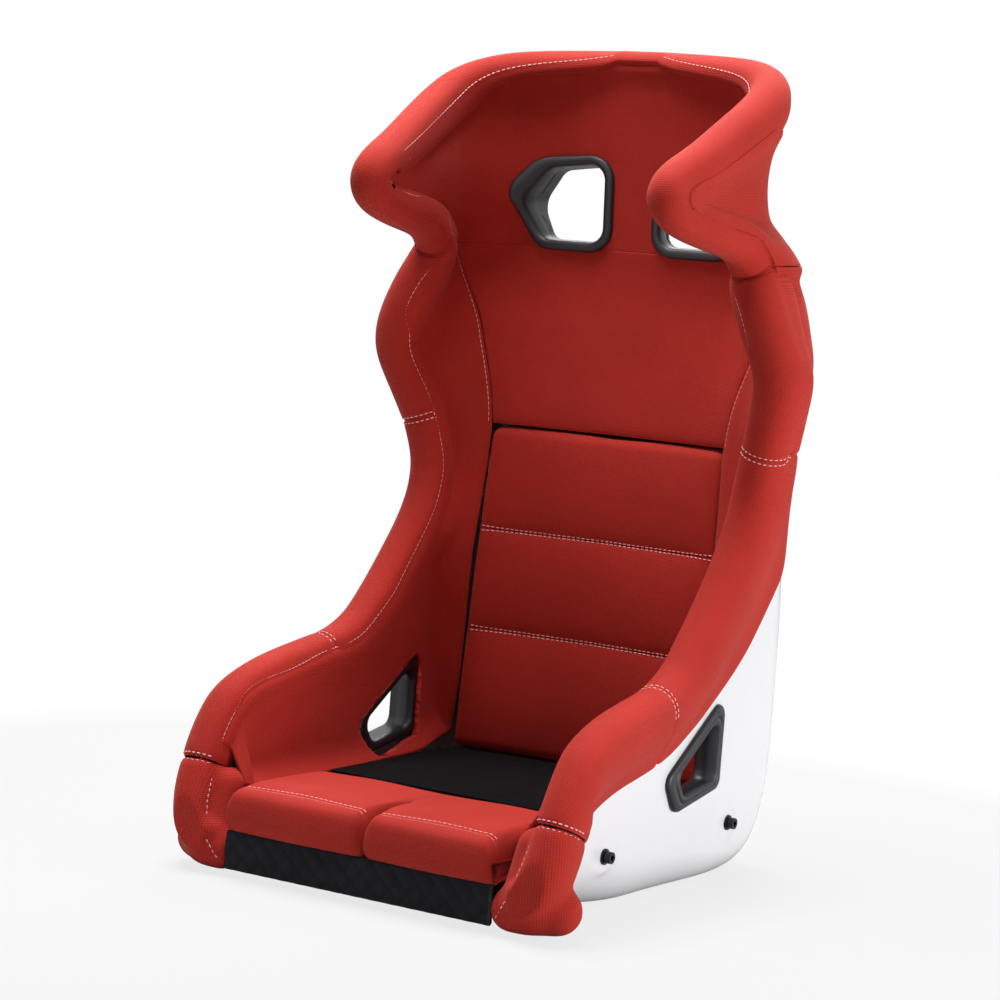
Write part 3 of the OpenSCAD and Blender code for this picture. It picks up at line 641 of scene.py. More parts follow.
def plastic(name, colour, rough, grain=0.00008):
    m = Nodes(name)
    obj = m.coords()
    n = m.noise(obj, 700.0, 3.0)
    m.drive("Normal", m.bump(n, grain, 0.6))
    worn = m.noise(obj, 35.0, 3.0)
    m.drive("Roughness", m.math("ADD", m.math("MULTIPLY", worn, 0.14), rough - 0.07))
    light = tuple(c * 1.35 for c in colour[:3]) + (1,)
    m.drive("Base Color", m.mix_colour(worn, colour, light))
    return m.mat


def gelcoat(name):
    m = Nodes(name)
    obj = m.coords()
    cloud = m.noise(obj, 5.0, 3.0)
    m.drive("Base Color", m.mix_colour(cloud, srgb(238, 239, 243), srgb(246, 246, 248)))
    peel = m.noise(obj, 130.0, 2.0)
    m.drive("Normal", m.bump(peel, 0.00004, 0.5))
    m.drive("Roughness", m.math("ADD", m.math("MULTIPLY", m.noise(obj, 18.0, 4.0), 0.08), 0.14))
    m.set("Coat Weight", 0.4)
    m.set("Coat Roughness", 0.06)
    return m.mat


def metal(name, colour, rough):
    m = Nodes(name)
    obj = m.coords()
    n = m.noise(obj, 500.0, 3.0)
    m.drive("Roughness", m.math("ADD", m.math("MULTIPLY", n, 0.2), rough - 0.1))
    m.drive("Base Color", m.mix_colour(n, colour, tuple(c * 1.4 for c in colour[:3]) + (1,)))
    m.set("Metallic", 1.0)
    return m.mat


RED = mesh_fabric("red_mesh", srgb(205, 44, 30), srgb(96, 14, 10))
SUEDE = suede("black_suede", srgb(20, 20, 25))
# a darker copy of the black suede, with little sheen, for the seat mat: its darker colour is painted shade
SHADED_MAT_SUEDE = suede("mat_suede_painted_shade", srgb(9, 8, 11), 0.02)
BLACK = plastic("black_plastic", srgb(22, 23, 28), 0.4)
# a lighter copy of the black plastic for the shoulder slot bezels: painted light on their rims
LIT_BLACK_PLASTIC = plastic("black_plastic_painted_lit", srgb(36, 35, 41), 0.4)
WHITE = gelcoat("white_gelcoat")
STEEL = metal("plated_steel", srgb(165, 165, 170), 0.35)
OXIDE = metal("black_oxide", srgb(48, 48, 52), 0.42)
THREAD = plastic("thread", srgb(240, 178, 176), 0.6, 0.0002)

# ------------------------------------------------------------------------------- slots
MOUNT_X = float(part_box("mount_washers")[1][0]) * 1000 - 2
SHOULDER_AT, LAP_AT = np.array([91.0, 236.0, 774.0]), np.array([MOUNT_X, 83.0, 155.0])
YAW = math.radians(7.5)


def rounded(pts, rad, n=9):
    out = []
    c = len(pts)
    for i in range(c):
        p, a, b = (np.array(pts[j % c], float) for j in (i, i + c - 1, i + 1))
        a, b = unit(a - p), unit(b - p)
        half = math.acos(np.clip(a @ b, -1, 1)) / 2
        mid = p + unit(a + b) * rad[i] / math.sin(half)
        s, e = p + a * rad[i] / math.tan(half) - mid, p + b * rad[i] / math.tan(half) - mid
        a0 = math.atan2(s[1], s[0])
        d = (math.atan2(e[1], e[0]) - a0 + math.pi) % (2 * math.pi) - math.pi
        out += [mid + rad[i] * np.array([math.cos(a0 + d * t), math.sin(a0 + d * t)]) for t in np.linspace(0, 1, n)]
    return np.array(out)


def shoulder_outline(g):
    p, c = np.array([[-60, 54], [32, 46], [62, 4], [40, -57], [-60, -57]], float), (-4, -2)
    q = p + g * np.where(p > c, 1, -1)
    return rounded(q, [27 + g, 31 + g, 38 + g, 27 + g, 26 + g])


def lap_outline(g):
    k, c = 1 + g / 44, np.array([14, -8])
    return rounded([c + k * (np.array(v) - c) for v in ([59, 68], [59, -39], [-45, -58], [-72, -18])], [12, 13, 16, 14])


def to_shoulder(p, s):
    """Slot coordinates (x, up, out) of points in the part's frame."""
    q = (p - SHOULDER_AT * [s, 1, 1]) * [s, 1, 1]
    c, n = math.cos(YAW), math.sin(YAW)
    # local z points along -Y, turned by the yaw about the upright axis
    lx, lz = q[..., 0], -q[..., 1]
    return np.stack([lx * c - lz * n, q[..., 2], lx * n + lz * c], -1)


def from_shoulder(l, s):
    c, n = math.cos(YAW), math.sin(YAW)
    x, z = l[..., 0] * c + l[..., 2] * n, -l[..., 0] * n + l[..., 2] * c
    return (np.stack([x, -z, l[..., 1]], -1)) * [s, 1, 1] + SHOULDER_AT * [s, 1, 1]


def to_lap(p, s):
    q = (p * [s, 1, 1]) - LAP_AT
    return np.stack([q[..., 1], q[..., 2], q[..., 0]], -1)


def from_lap(l, s):
    return (np.stack([l[..., 2], l[..., 0], l[..., 1]], -1) + LAP_AT) * [s, 1, 1]


def in_polygon(xy, poly):
    x, y = xy[..., 0], xy[..., 1]
    inside = np.zeros(x.shape, bool)
    for a, b in zip(poly, np.roll(poly, -1, 0)):
        hit = ((a[1] > y) != (b[1] > y)) & (x < (b[0] - a[0]) * (y - a[1]) / (b[1] - a[1] + 1e-12) + a[0])
        inside ^= hit
    return inside


def hole(to, back, outline, s, reach=70):
    """Cell test and snap to the outline, for slab()."""
    fine = np.concatenate([np.linspace(a, b, 6)[:-1] for a, b in zip(outline, np.roll(outline, -1, 0))])
    def inside(p):
        l = to(p, s)
        return in_polygon(l[..., :2], outline) & (np.abs(l[..., 2]) < reach)
    def snap(p):
        l = to(p, s)
        for k in range(len(l)):
            l[k, :2] = fine[np.argmin(((fine - l[k, :2]) ** 2).sum(1))]
        return back(l, s)
    return inside, snap


def loft_frame(name, outline, back, s, loops, replaces):
    """A frame round a slot: its cross-section, as (offset of the outline, height), swept round."""
    rings = []
    for g, z in loops:
        o = outline(g)
        z = z(o) if callable(z) else np.full(len(o), z)
        rings.append(back(np.concatenate([o, z[:, None]], 1), s))
    rings = np.stack(rings)
    ob = tube(name, rings, BLACK, flip=s > 0, wrap_rows=True)
    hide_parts(replaces)
    return ob


# ------------------------------------------------------------------------------- the shell
SIDES = (("left", 1), ("right", -1))
us = spans(0, LAST, 0.11)
qs = np.concatenate([-np.linspace(1, 0.3, 62), np.linspace(-0.3, 0.3, 40)[1:-1], np.linspace(0.3, 1, 62)])
outer = hull_pt(us[:, None], qs[None], 0.0)
inner = hull_pt(us[:, None], qs[None], SHELL_WALL)
mounts = [np.array(m["pos_m"]) * 1000 for m in frame["record"]["mounts"] if m["kind"] == "pin"]
for c in mounts:   # flat round pads under the washers
    d = np.hypot(outer[..., 1] - c[1], outer[..., 2] - c[2])
    d = np.where(outer[..., 0] * c[0] > 0, d, 999)
    w = smooth((24 - d) / 7)
    outer[..., 0] = mix(outer[..., 0], np.sign(c[0]) * (MOUNT_X - 0.05), w)
outer[..., 2] = np.maximum(outer[..., 2], 0)
holes = []
for side, s in SIDES:
    holes.append(hole(to_shoulder, from_shoulder, shoulder_outline(-7.2), s))
    holes.append(hole(to_lap, from_lap, lap_outline(-7.7), s, 40))
shell = slab("seat_shell", outer, inner, WHITE, holes=holes)
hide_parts("shell")

# ------------------------------------------------------------------------------- edge rolls
def soft(o, node, fill):
    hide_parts(node)


def leg_at(u):
    """How far the roll reaches down inside: less where the rim turns sharply at the wing tip and at the crown."""
    return LEG * (1 - 0.5 * np.exp(-((u - 30) / 1.3) ** 2)) * mix(1, 0.3, smooth((u - 34.5) / 2.5))


def roll_profile(r, cover, leg, n_out=52):
    """Smooth outside of an edge roll as (inward, outward) pairs, one row for each station."""
    t = SHELL_WALL / 2
    one = np.ones_like(r)
    ctrl = [(12 * one, -1.25 * leg), ((t + 18.5) * one, -1.07 * leg), ((t + 21.3) * one, -0.7 * leg),
            ((t + 22) * one, -0.1 * leg), ((t + 19.5) * one, 0.43 * r), (0.6 * r, 0.76 * r), (0.2 * r, 0.97 * r),
            (-0.25 * r, 0.95 * r), (-0.65 * r, 0.72 * r), (-0.88 * r, 0.3 * r), (-0.9 * r, -0.25 * r),
            (-0.74 * r, -0.9 * r), ((-t - 9) * one, -0.45 * r - cover / 2), ((-t - 5) * one, -cover + 3),
            ((-t - 3.2) * one, -cover), ((-t + 1) * one, -cover + 1)]
    c = np.stack([np.stack(p, -1) for p in ctrl], -2)           # station, point, 2
    k = np.linspace(0, c.shape[1] - 1, n_out)
    p = np.stack([catmull(row, k) for row in c])
    for _ in range(3):                                           # fairs the outline
        p[:, 1:-1] = 0.25 * p[:, :-2] + 0.5 * p[:, 1:-1] + 0.25 * p[:, 2:]
    return p


def cover_at(u):
    low = mix(mix(56, 62, smooth(u - 3)), 84, smooth((u - 9) / 5))
    return mix(mix(low, 52, smooth((u - 18.2) / 1.2)), 28, smooth((u - 25) / 2))


def roll_grid(us, s, seams="ik", dip=2.6):
    """Outside of the roll as a grid, and points in the shell's wall that close it."""
    s = np.asarray(s, float) * np.ones_like(us)
    e = edge_pt(us, s)
    step = 0.25
    tan = s[:, None] * unit(edge_pt(np.minimum(us + step, LAST), s) - edge_pt(np.maximum(us - step, 0), s))
    end = smooth((us - (LAST - 0.8)) / 0.8)[:, None]
    tan = unit(mix(tan, np.array([[-1.0, 0, 0]]), end))
    k = at(us)
    _, _, nx, nh = u_section(s, k[..., 4], k[..., 5], k[..., 6], depth(k))
    zero = np.zeros_like(us)
    v = place(k, nx, nh) - place(k, zero, zero)
    nrm = unit(v - (v * tan).sum(-1, keepdims=True) * tan)
    out = np.cross(tan, nrm)
    r = k[..., 7]
    leg = leg_at(us)
    prof = roll_profile(r, cover_at(us), leg)
    flat = e[:, None] + prof[..., :1] * nrm[:, None] + prof[..., 1:] * out[:, None]
    m = smooth((edge_slope(us) - 0.4) / 0.3) * (1 - smooth((us - 34.5) / 1.5))
    m = m[:, None, None] * smooth((-1.5 - prof[..., 1:]) / 6)
    down = np.maximum(-prof[..., 1], 0)
    k_in = np.stack([hull_in(us, down[:, j]) for j in range(prof.shape[1])], 1)
    near = hull_pt(us[:, None], s[:, None] * k_in, prof[..., 0] + SHELL_WALL / 2)
    p = mix(flat, near, m)
    p = puff(p, -1.0, seams, dip=dip, width=3.2) if seams else p
    wall = []
    for a, b in ((1.0, -0.9), (1.0, -0.4), (0.5, 0), (-0.5, 0), (-1.0, -0.7)):
        wall.append(e + a * nrm + (b * leg)[:, None] * out)
    return p, np.stack(wall[::-1], 1)


def roll_piece(name, us, s, node, seams="ik"):
    p, wall = roll_grid(us, s, seams)
    rings = np.concatenate([p, wall], 1)
    o = foot(name, rings, s) if name.startswith("front") else tube(name, rings, RED, flip=True)
    soft(o, node, 0.9)
    return p


def ball(centre, r, k=(1, 1, 1)):
    a, b = np.linspace(0, 2 * math.pi, 29)[:-1], np.linspace(0.05, math.pi - 0.05, 15)
    ring = np.stack([np.sin(b)[:, None] * np.cos(a), np.sin(b)[:, None] * np.sin(a), np.cos(b)[:, None] + 0 * a], -1)
    return np.array(centre, float) + ring * r * np.array(k)


def remeshed(parts, voxel, rounds):
    """One skin round several closed pieces given as grids of rings."""
    pts, faces = [], []
    for g in parts:
        n, m = g.shape[:2]
        base = sum(len(q) for q in pts)
        faces += quads(n, m, base, wrap=True)
        faces += [list(range(base, base + m))[::-1], list(range(base + (n - 1) * m, base + n * m))]
        pts.append(g.reshape(-1, 3))
    me = bpy.data.meshes.new("tmp")
    me.from_pydata((np.concatenate(pts) / 1000).tolist(), [], faces)
    o = bpy.data.objects.new("tmp", me)
    bpy.context.collection.objects.link(o)
    mod = o.modifiers.new("remesh", "REMESH")
    mod.mode, mod.voxel_size = "VOXEL", voxel / 1000
    mod = o.modifiers.new("smooth", "SMOOTH")
    mod.factor, mod.iterations = 0.5, rounds
    dg = bpy.context.evaluated_depsgraph_get()
    ev = o.evaluated_get(dg).to_mesh()
    v = np.zeros(len(ev.vertices) * 3)
    ev.vertices.foreach_get("co", v)
    f = [list(q.vertices) for q in ev.polygons]
    bpy.data.objects.remove(o)
    return v.reshape(-1, 3) * 1000, f


def foot(name, rings, s):
    """Front end of the roll with the rounded foot under it, which closes against the valance."""
    parts = [rings]
    for t in np.linspace(0, 1, 15):
        x, y = mix(189, 232, t), mix(-243, -226, smooth((t - 0.35) / 0.65))
        parts.append(ball((s * x, y, mix(27, 30, t)), mix(25, 27, t), (1, 1, 0.98)))
    for t in np.linspace(0, 1, 9):
        parts.append(ball((s * mix(196, 199, t), mix(-237, -222, t), mix(30, 92, t)), mix(25, 21, t)))
    v, f = remeshed(parts, 4.0, 10)
    low = 3.0
    v[:, 2] = np.maximum(v[:, 2], low)
    v[:, 0] = s * np.maximum(s * v[:, 0], 171.4)
    v[:, 1] = np.maximum(v[:, 1], -271)
    d = v - np.array([s * 205.0, -200.0, 0.0])
    a = np.arctan2(d[:, 0], -d[:, 1])
    uv = np.stack([v[:, 2], a * 52.0], -1) / 1000
    return make(name, v, f, uv, RED)


STEP = 0.07
rolls = {}
for side, s in SIDES:
    for part, u0, u1 in (("thigh", SEAM_THIGH, SEAM_HIP), ("torso", SEAM_HIP, SEAM_SHOULDER),
                         ("shoulder", SEAM_SHOULDER, SEAM_NECK), ("front", 0.0, SEAM_THIGH)):
        uu = spans(u0, u1, STEP if part != "front" else 0.05)
        uu = uu if s > 0 else uu[::-1]
        seam = {"front": "k" if s > 0 else "i"}.get(part, "ik")
        rolls[part, side] = roll_piece(f"{part}_bolster_roll_{side}", uu, s, f"{part}_bolster_{side}", seam)
up = spans(SEAM_NECK, LAST, 0.05)
halo_us = np.concatenate([up, up[::-1]])
halo_s = np.concatenate([np.ones(len(up)), -np.ones(len(up))])
rolls["halo", ""] = roll_piece("halo_rim_roll", halo_us, halo_s, "halo_rim")
LINE = np.array([
    [180, -263, 19], [208, -257, 54], [215, -254, 73], [218, -246, 92], [217, -236, 119], [216, -227, 146],
    [215, -209, 172], [216, -188, 194], [210, -154, 206], [203, -109, 215], [205, -51, 229], [199, -12, 236],
    [197, 19, 248], [194, 48, 271], [191, 74, 295], [192, 99, 326], [193, 124, 357], [195, 149, 392], [196, 162, 425],
    [198, 165, 448], [200, 162, 474], [204, 157, 501], [207, 149, 533], [214, 132, 564], [221, 123, 587],
    [229, 118, 602], [233, 113, 622], [229, 116, 642], [222, 122, 662], [214, 125, 676], [198, 127, 699],
    [189, 131, 715], [186, 124, 738], [190, 95, 758], [187, 50, 761], [182, 7, 765], [179, -22, 778], [180, -9, 796],
    [184, 20, 811], [190, 70, 834], [188, 122, 865], [172, 169, 897], [147, 192, 915], [118, 206, 927],
    [85, 217, 932], [45, 227, 935], [0, 229, 936]], float)


def settle(line, objects, reach=0.03):
    """Moves points onto the nearest surface of some objects; returns them with its normals."""
    out = []
    for q in line:
        best = None
        for o in objects:
            hit, at_p, n, _ = o.closest_point_on_mesh(Vector(q / 1000), distance=reach)
            if hit and (best is None or (at_p - Vector(q / 1000)).length < best[0]):
                best = ((at_p - Vector(q / 1000)).length, np.array(at_p) * 1000, np.array(n))
        if best:
            out.append((best[1], best[2]))
    pts, nn = (np.array([o[i] for o in out]) for i in (0, 1))
    for _ in range(6):
        nn[1:-1] = unit(nn[:-2] + 2 * nn[1:-1] + nn[2:])
        pts[1:-1] = 0.25 * pts[:-2] + 0.5 * pts[1:-1] + 0.25 * pts[2:]
    return pts, nn


fine_line = catmull(LINE, np.arange(0, (len(LINE) - 1) * 8 + 1) / 8)
roll_objects = [o for o in bpy.data.objects if "roll" in o.name]
for key, p in rolls.items():
    sign = -1.0
    if key[0] == "halo":
        continue
    for border in "ik":
        if key[0] == "front" and border == ("i" if key[1] == "left" else "k"):
            continue
        if key[0] == "shoulder" and border == ("k" if key[1] == "left" else "i"):
            continue
        pts, nn = walk(p, 4.0, border)
        if key[0] == "front":
            pts, nn = settle(pts, roll_objects)
            sign = 1.0
        sew("seat", pts, nn, sign, 0.27, 0.66)

# ------------------------------------------------------------------------------- inner panels
SIDE_PAD_THICK, HEAD_PAD_THICK = 9, 12


def panel(name, front, back, node, sign, borders, dip, holes=(), flip=False):
    """A flat pad between two grids, sunk into its seams; returns its outer grid."""
    p = puff(front, sign, borders, dip=dip)
    soft(slab(name, p, back, RED, flip=flip, holes=holes), node, 0.9)
    return p


def rows_of(grid, n, sigma):
    """Each row of a grid spaced evenly into n points and softened."""
    out = []
    for row in grid:
        run = np.concatenate([[0], np.cumsum(np.linalg.norm(np.diff(row, axis=0), axis=1))])
        x = np.linspace(0, run[-1], n)
        out.append(np.stack([np.interp(x, run, row[:, c]) for c in range(3)], 1))
    g = np.stack(out)
    k = np.exp(-0.5 * (np.arange(-12, 13) / sigma) ** 2)
    k /= k.sum()
    pad = np.concatenate([2 * g[:, :1] - g[:, 12:0:-1], g, 2 * g[:, -1:] - g[:, -2:-14:-1]], 1)
    return sum(k[i] * pad[:, i:i + n] for i in range(25))


def over_roll(uu, start, count=26):
    """From q = start out along the padding's face and up the roll to its stitched border, on the +X side."""
    p, _ = roll_grid(uu, 1.0, "")
    n = normals(p) * -1.0
    near = np.array([[np.min(np.linalg.norm(fine_line - q, axis=1)) for q in row[8:28]] for row in p])
    idx = 8 + np.argmin(near, 1).astype(float)
    idx = np.convolve(np.pad(idx, 6, "edge"), np.ones(13) / 13, "valid")
    idx = mix(idx, 12.5, smooth((uu - 34.5) / 1.5))
    t = np.linspace(0, 1, 14)
    j = 10 + (idx[:, None] - 10) * t[None]
    i0 = np.floor(j).astype(int)
    fr = (j - i0)[..., None]
    rows = np.arange(len(uu))[:, None]
    up_p = p[rows, i0] * (1 - fr) + p[rows, i0 + 1] * fr
    up_n = n[rows, i0] * (1 - fr) + n[rows, i0 + 1] * fr
    up_p = up_p + up_n * (0.4 + 2.0 * np.sin(np.pi * np.clip(t * 0.9 + 0.1, 0, 1)))[None, :, None]
    reach = face_in(uu, leg_at(uu) + 17)
    q = mix(start[:, None], np.maximum(reach, start + 0.01)[:, None], np.linspace(0, 1, count)[None])
    return face_pt(uu[:, None], q), up_p


for side, s in SIDES:
    uu = spans(3.2, SEAM_NECK + 0.35, 0.09)
    low = seam_face(uu) - 0.05 * (1 - smooth((uu - 9.5) / 1.5))
    a, b = over_roll(uu, low)
    f = rows_of(np.concatenate([a, b], 1), 72, 3.0) * [s, 1, 1]
    b = f + normals(f) * s * SIDE_PAD_THICK
    cut = [hole(to_lap, from_lap, lap_outline(-0.5), s, 45)]
    p = panel(f"side_panel_{side}", f, b, f"side_pad_{side}", -s, "jl", dip=2.4, holes=cut, flip=s < 0)
    rolls["side", side] = p
    lo = int(np.searchsorted(uu, 18.9))
    sew("seat", *walk(p[lo:-2], 4.0, "j"), s)

uu = spans(18.88, SEAM_NECK, 0.09)
t = np.linspace(-1, 1, 90)
f = face_pt(uu[:, None], t[None] * (seam_face(uu)[:, None] - 0.004))
b = face_pt(uu[:, None], t[None] * (seam_face(uu)[:, None] - 0.004), -10)
panel("upper_back_panel", f, b, "upper_back_pad", -1.0, "ijl", dip=3.0)

uu = spans(SEAM_NECK, LAST - 0.04, 0.08)
t = np.linspace(-1, 1, 161)
f = face_pt(uu[:, None], t[None] * face_in(uu, leg_at(uu) * 0.62)[:, None])
f[..., 1] -= 7 * smooth((uu - 35.5) / 2.5)[:, None]
b = f + normals(f) * HEAD_PAD_THICK
cut = [hole(to_shoulder, from_shoulder, shoulder_outline(-0.8), s) for _, s in SIDES]
head = panel("head_panel", f, b, "head_pad", -1.0, "jkl", dip=2.0, holes=cut)

halo = rolls["halo", ""][:len(up)]
crown_line = mix(halo[:, 12], halo[:, 13], 0.5)[up > 31.5][::4]
for _, s in SIDES:
    line, nn = settle(fine_line[fine_line[:, 2] < 805][:8 * 38] * [s, 1, 1], roll_objects)
    sew("seat", line, nn, 1.0)
    line, nn = settle(crown_line * [s, 1, 1], roll_objects)
    sew("seat", line, nn, 1.0)

# ------------------------------------------------------------------------------- outer covers
for side, s in SIDES:
    for part, u0, u1 in (("shoulder", SEAM_SHOULDER + 0.1, 25.97), ("halo", 26.03, 35.0)):
        uu = spans(u0, u1, 0.12)
        t = np.linspace(0, 1, 60)
        # flush with the roll's widest line on the head wings, a thin skin under its cover on the shoulders
        full = smooth((uu - 24.6) / 1.4) * (1 - smooth((uu - 33.5) / 1.5))
        q = mix(0.5, hull_in(uu, mix(16, 7, full))[:, None], t[None])
        thick = 5.2 * smooth(0.3 + t * 6)[None]
        mid_u = uu[:, None] + 0 * t[None]
        flat = hull_pt(mid_u, q, 0.0)
        d = np.linalg.norm(flat - hull_pt(uu, 1.0, 0.0)[:, None], axis=-1)
        swell = (0.9 * at(uu)[:, 7] - 2.5 + 0.8 - 5.2)[:, None] * np.exp(-((d - 7) / mix(30, 80, full)[:, None]) ** 2)
        thick = thick + full[:, None] * swell
        f = hull_pt(uu[:, None], s * q, -0.4 - thick)
        f = puff(f, -s, "l", dip=1.2, width=3.0)
        b = hull_pt(uu[:, None], s * q, -0.1)
        o = slab(f"{part}_outer_cover_{side}", f, b, RED, flip=s < 0)
        soft(o, f"{part}_cover_{side}", 0.8)

# ------------------------------------------------------------------------------- back cushion
lo, hi = (np.array(v) * 1000 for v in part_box("back_cushion"))
channels = [BASE + 5, 246.0, 369.0, 495.0]
zz, swell = [], []
for c in range(3):
    tt = 0.5 - 0.5 * np.cos(np.pi * np.linspace(0, 1, 34))
    tt = tt if c == 2 else tt[:-1]
    zz.append(mix(channels[c], channels[c + 1], tt))
    swell.append(9.5 * np.sin(np.pi * tt) ** 0.42)
zz, swell = np.concatenate(zz), np.concatenate(swell)
half = CUSHION_HALF - CUSHION_TAPER * (zz - channels[0]) / (channels[3] - channels[0]) + 4.4
edge = np.minimum(zz - zz[0], zz[-1] - zz)
round_end = np.sqrt(np.clip(1 - (1 - np.clip(edge / 11, 0, 1)) ** 2, 0, 1))
a = np.linspace(0, 2 * math.pi, 141)[:-1]
ca, sa = np.cos(a), np.sin(a)
cx = np.sign(ca) * np.abs(ca) ** 0.1
cy = np.sign(sa) * np.abs(sa) ** 0.36
top_round = 9 * (1 - np.sqrt(np.clip(1 - (1 - np.clip((zz[-1] - zz) / 15, 0, 1)) ** 2, 0, 1)))
x = (half - top_round)[:, None] * cx[None] - np.sign(cx)[None] * 3 * (1 - round_end[:, None])
thick = CUSHION_THICK / 2 - 0.5
front_side = (sa > 0)[None]
puffed = np.where(front_side, swell[:, None] * (1 - np.abs(cx)[None] ** 5) ** 0.6, 0)
y = (back_y(zz)[:, None] - dish(x) + CUSHION_THICK / 2
     - thick * np.sign(cy)[None] * (np.abs(cy)[None] * round_end[:, None]) - puffed)
rings = np.stack([x, y, np.broadcast_to(zz[:, None], x.shape)], -1)
o = tube("back_cushion_pad", rings, RED, body="back_cushion")
soft(o, "back_cushion", 0.85)
cols = [j for j in range(len(a)) if 0.12 < a[j] < math.pi - 0.12]
front = rings[:, cols]
for c in (1, 2):
    i = int(np.argmin(np.abs(zz - channels[c])))
    sew("back_cushion", *walk(front[:i + 1], 3.2, "k"), 1.0, 0.02, 0.98)
    sew("back_cushion", *walk(front[i:], 3.2, "i"), 1.0, 0.02, 0.98)
# foam behind it
uu = spans(11.06, 18.84, 0.2)
t = np.linspace(-1, 1, 40)
hh = half_at(uu)[:, None] + 1
xx = t[None] * hh
f = place(at(uu)[:, None], xx, pad_depth(uu[:, None], xx, CUSHION_THICK - 4) - 5)
b = hull_pt(uu[:, None], np.sign(xx) * hull_q(uu[:, None], np.abs(xx)), SHELL_WALL + 0.4)
o = slab("back_foam_pad", f, b, RED)
soft(o, "back_foam", 0.95)

# ------------------------------------------------------------------------------- thigh cushion
def closed_curve(p, n):
    """n points on a smooth closed curve through the points p."""
    return catmull(np.concatenate([p[-1:], p, p[:3]]), np.linspace(0, len(p), n + 1)[:-1] + 1)


lo, hi = (np.array(v) * 1000 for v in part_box("thigh_cushion"))
zb = lo[2] + 0.6
cleft_x, cleft_end = 8.0, lo[1] + 100
top = hi[2] - zb
L = hi[1] - lo[1]
# outline in the side view, from the rear of the base, forward, up and back over the top
side_view = np.array([[L - 4, 0.5], [L * 0.5, 0], [24, 0], [12, -2], [4, 2], [0, 10], [-2, 21], [-0.5, top - 16],
                      [6, top - 7.5], [20, top - 3.5], [44, top - 0.5], [90, top - 0.5], [L - 40, top - 2],
                      [L - 14, top - 7], [L - 2, top - 16], [L - 0.5, 12]])
ring0 = closed_curve(side_view, 130)
w = hi[0] - 0.6
dense = np.concatenate([np.linspace(0, 1, 16) ** 2 * 16, np.linspace(16, 60, 10)[1:]])
xs = np.unique(np.round(np.concatenate([cleft_x - dense, cleft_x + dense, -w + dense, w - dense,
                                        np.linspace(-w + 60, w - 60, 30)]), 2))
xs = xs[(xs >= -w) & (xs <= w)]
yy = lo[1] + ring0[:, 0][None] + np.zeros((len(xs), 1))
zz2 = ring0[:, 1][None] + np.zeros((len(xs), 1))
d_side = (w - np.abs(xs))[:, None]
edge = np.sqrt(np.clip(1 - (1 - np.clip(d_side / 15, 0, 1)) ** 2, 0, 1))
d_cleft = np.abs(xs - cleft_x)[:, None]
run_in = smooth((cleft_end - yy) / 26)
radius = mix(9, 15, smooth((cleft_end - 30 - yy) / 60))
notch = np.sqrt(np.clip(1 - (1 - np.clip(d_cleft / radius, 0, 1)) ** 2, 0, 1))
keep = 1 - run_in * (1 - notch)
mid_h = top * 0.42
scale = edge * keep
zz2 = np.where(zz2 > mid_h, mid_h + (zz2 - mid_h) * edge, zz2)
zz2 = np.where(zz2 > 6, 6 + (zz2 - 6) * keep, zz2)
yc = lo[1] + L / 2
yy = yc + (yy - yc) * mix(0.95, 1, edge)
yy = yy + np.where(yy < lo[1] + 40, (1 - keep) * 12 * smooth((lo[1] + 40 - yy) / 40), 0)
lobe = 3.5 * np.exp(-((xs[:, None] - cleft_x - 90) / 60) ** 2) + 3.5 * np.exp(-((xs[:, None] - cleft_x + 90) / 60) ** 2)
zz2 = zz2 + np.where(zz2 > mid_h, (lobe - 2.5) * keep * smooth((yy - lo[1]) / 30) * smooth((hi[1] - yy) / 40), 0)
near_front = np.exp(-((yy - lo[1]) / 16) ** 2)
yy = yy - 0.9 * (lobe - 1.5) * keep * near_front
# the double seam along the top front edge pulls the cover in
seam_y = lo[1] + 19
yy_d = (yy - seam_y) / 3.4
zz2 = zz2 - np.where(zz2 > mid_h, 1.7 * np.exp(-yy_d ** 2) * keep, 0)
rings = np.stack([np.broadcast_to(xs[:, None], yy.shape), yy, zb + zz2], -1)
o = tube("thigh_cushion_pad", rings, RED, flip=True, body="thigh_cushion")
soft(o, "thigh_cushion", 0.85)
for x0, x1 in ((-w + 6, cleft_x - 7), (cleft_x + 7, w - 6)):
    rows = [i for i in range(len(xs)) if x0 <= xs[i] <= x1]
    for dy in (-3.4, 3.4):
        line, nn = [], []
        all_n = normals(rings)
        for i in rows:
            top_side = np.nonzero(zz2[i] > mid_h)[0]
            j = top_side[np.argmin(np.abs(yy[i, top_side] - seam_y - dy))]
            t = np.clip((seam_y + dy - yy[i, j]) / (yy[i, j + 1] - yy[i, j] + 1e-9), -1, 1)
            line.append(mix(rings[i, j], rings[i, j + 1], t))
            nn.append(all_n[i, j])
        sew("thigh_cushion", np.array(line), np.array(nn), -1.0)

# ------------------------------------------------------------------------------- front valance
lo, hi = (np.array(v) * 1000 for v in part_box("front_valance"))
xs = np.linspace(lo[0] + 0.2, hi[0] - 0.2, 300)
cross = np.array([[7.5, 26], [8.5, 8], [9, 3], [6, 0.2], [2.5, 0.6], [0.8, 6], [0.2, 16], [0, 28],
                  [0.3, 38], [1.5, 43.0], [5, 44], [8, 42.5]])
top_v = (hi[2] - lo[2]) / 44.4
ring0 = closed_curve(cross, 96)
yy = lo[1] + 0.6 + ring0[:, 0][None] + np.zeros((len(xs), 1))
zz = lo[2] + 0.3 + ring0[:, 1][None] * top_v + np.zeros((len(xs), 1))
wave = np.sqrt(np.abs(np.sin(np.pi * (xs[:, None] + zz) / 24) * np.sin(np.pi * (xs[:, None] - zz) / 24)))
yy = np.where(yy < lo[1] + 5, yy + 1.1 * (1 - wave), yy)
rings = np.stack([np.broadcast_to(xs[:, None], yy.shape), yy, zz], -1)
o = tube("valance_quilted", rings, SUEDE, flip=True)
soft(o, "front_valance", 0.9)

